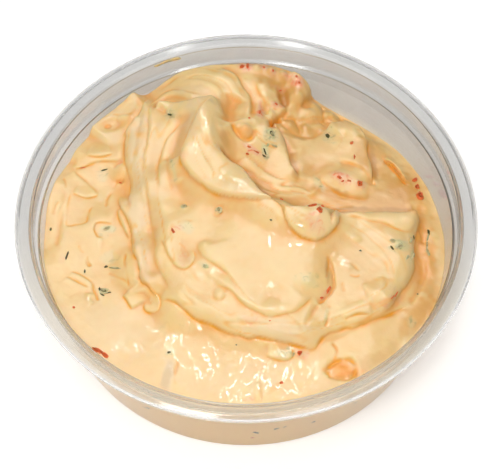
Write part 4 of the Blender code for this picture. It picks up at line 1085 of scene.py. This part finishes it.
def bitMaterial(bits):
    # two tones of one kind of bit, blotched by fine noise, moist like the cheese round it
    material, tree, shader = newMaterial(
        bits["material"], Roughness=bits["roughness"], Specular_IOR_Level=0.12, Subsurface_Weight=0.4,
        Subsurface_Radius=(1.0, 0.4, 0.2), Subsurface_Scale=0.6 * mm, Coat_Weight=0.05, Coat_Roughness=0.1)
    surface = placeMoist(tree, 0.7, 0.06)
    feed(shader, Normal=surface["Normal"],
         Base_Color=mixColors(tree, surface["fine"], bits["dark"], bits["light"]))
    return material


for name, bits, sidePlaces, material in (
        ("pepper_bits", pepper, wallBits(pepper), bitMaterial(pepper)),
        ("herb_bits", herb, wallBits(herb), bitMaterial(herb)),
        ("onion_bits", onion, wallBits(onion), bitMaterial(onion)),
        ("wall_smears", smears, smears["onBand"], spread.data.materials[0])):
    piece = buildBits(name, bits, sidePlaces, material)
    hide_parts("cream_cheese")
    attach(piece, "root")
print("bits laid in")


# Table, light and camera, in metres

view = {
    "distance": 0.65,  # from the middle of the rim line
    "elevation": 56.5,
    "lens": 185.5,
    "shift": (0.0078, -0.0346),  # the tub stands a little left of and above the picture's middle
}
glints = {  # of small lamps, seen in the plastic at the back
    "shelf": (tub["ledgeLevel"] + 0.1, 14.6),  # level, and how far the plastic leans towards the middle
    "rim": (0.4, -3.4),
    "radius": 53,  # of the places where they are seen, in millimetres
    "distance": 0.9,  # of a lamp from there
    "depth": 0.04,  # of a lamp, across its width
    "radiance": 20,  # times pi and a lamp's area, this gives its power
    "lamps": [  # name, where it is seen, azimuth, width
        ("shelfGlintRight", "shelf", 12, 0.04), ("shelfGlintLeft", "shelf", -18, 0.025),
        ("rimGlintRight", "rim", 13, 0.02), ("rimGlintLeft", "rim", -18, 0.012),
    ],
}


def buildStage():
    corners = [(-1.5, -1.5, 0), (1.5, -1.5, 0), (1.5, 1.5, 0), (-1.5, 1.5, 0)]
    mesh = bpy.data.meshes.new("table")
    mesh.from_pydata(corners, [], [(0, 1, 2, 3)])
    table = bpy.data.objects.new("table", mesh)
    bpy.context.scene.collection.objects.link(table)
    material, _, _ = newMaterial(
        "paleTable", Base_Color=(0.97, 0.97, 0.97), Roughness=0.9, Specular_IOR_Level=0.1,
        Emission_Color=(0.98, 0.99, 1.0), Emission_Strength=0.2)
    mesh.materials.append(material)


def addSoftbox(name, place, width, power, depth=None, onlyOn=None):
    # a lamp given a piece lights the gloss of that piece alone
    data = bpy.data.lights.new(name, "AREA")
    data.shape = "RECTANGLE"
    data.size, data.size_y = width, depth or width
    data.energy = power
    light = bpy.data.objects.new(name, data)
    light.location = place
    light.rotation_euler = (Vector((0, 0, 0.03)) - light.location).to_track_quat("-Z", "Y").to_euler()
    bpy.context.scene.collection.objects.link(light)
    if onlyOn:
        light.visible_diffuse = False
        group = bpy.data.collections.new(name + "Takes")
        group.objects.link(onlyOn)
        light.light_linking.receiver_collection = group


def polar(distance, azimuth, elevation):
    # azimuth 0 is towards the viewer, -Y, and positive to the right
    a, e = math.radians(azimuth), math.radians(elevation)
    return Vector((math.sin(a) * math.cos(e), -math.cos(a) * math.cos(e), math.sin(e))) * distance


def mirrored(azimuth, level, slope):
    # where a lamp stands that the eye sees in the plastic at this azimuth of the back: the way to the eye
    # mirrored in the surface's normal, which leans towards the middle by the slope
    a, s = math.radians(azimuth), math.radians(slope)
    radius = glints["radius"] * mm
    at = Vector((radius * math.sin(a), radius * math.cos(a), (tub["rimLine"] + level) * mm))
    normal = Vector((-math.sin(s) * math.sin(a), -math.sin(s) * math.cos(a), math.cos(s)))
    eye = polar(view["distance"], 0, view["elevation"]) + Vector((0, 0, tub["rimLine"] * mm))
    toEye = (eye - at).normalized()
    return at + glints["distance"] * (2 * toEye.dot(normal) * normal - toEye)


def lightScene():
    # soft boxes shape the folds, a lamp behind glints on the moist flats, one in front sheens the rim, and
    # small ones are seen mirrored in the shelf and the rim
    addSoftbox("leftSoftbox", polar(0.9, -28, 62), 0.24, 2.8)
    addSoftbox("rightSoftbox", polar(0.9, 30, 52), 0.26, 0.8)
    addSoftbox("overhead", (-0.1, 0.15, 1.1), 0.8, 1.6)
    addSoftbox("glintLamp", polar(0.9, 180, 70), 0.95, 37, 0.7, spread)
    addSoftbox("rimLamp", polar(0.9, 0, 80), 0.7, 3, onlyOn=clearTub)
    for name, where, azimuth, width in glints["lamps"]:
        power = glints["radiance"] * pi * width * glints["depth"]
        addSoftbox(name, mirrored(azimuth, *glints[where]), width, power, glints["depth"], clearTub)
    world = bpy.data.worlds.new("studio")
    world.use_nodes = True
    tree = world.node_tree
    # surroundings look brighter in reflections and through the plastic than they light the table
    diffuse = tree.nodes.new("ShaderNodeLightPath").outputs["Is Diffuse Ray"]
    strength = calc(tree, "SUBTRACT", 0.95, calc(tree, "MULTIPLY", diffuse, 0.5))
    feed(tree.nodes["Background"], Color=(0.97, 0.98, 1.0), Strength=strength)
    bpy.context.scene.world = world
    bpy.context.scene.view_settings.view_transform = "Standard"


def placeCamera():
    data = bpy.data.cameras.new("camera")
    data.lens = view["lens"]
    data.sensor_width = 36
    data.shift_x, data.shift_y = view["shift"]
    data.clip_start = 0.01
    camera = bpy.data.objects.new("camera", data)
    aim = Vector((0, 0, tub["rimLine"] * mm))
    camera.location = aim + polar(view["distance"], 0, view["elevation"])
    camera.rotation_euler = (aim - camera.location).to_track_quat("-Z", "Y").to_euler()
    bpy.context.scene.collection.objects.link(camera)
    bpy.context.scene.camera = camera


buildStage()
lightScene()
placeCamera()
print("stage set")
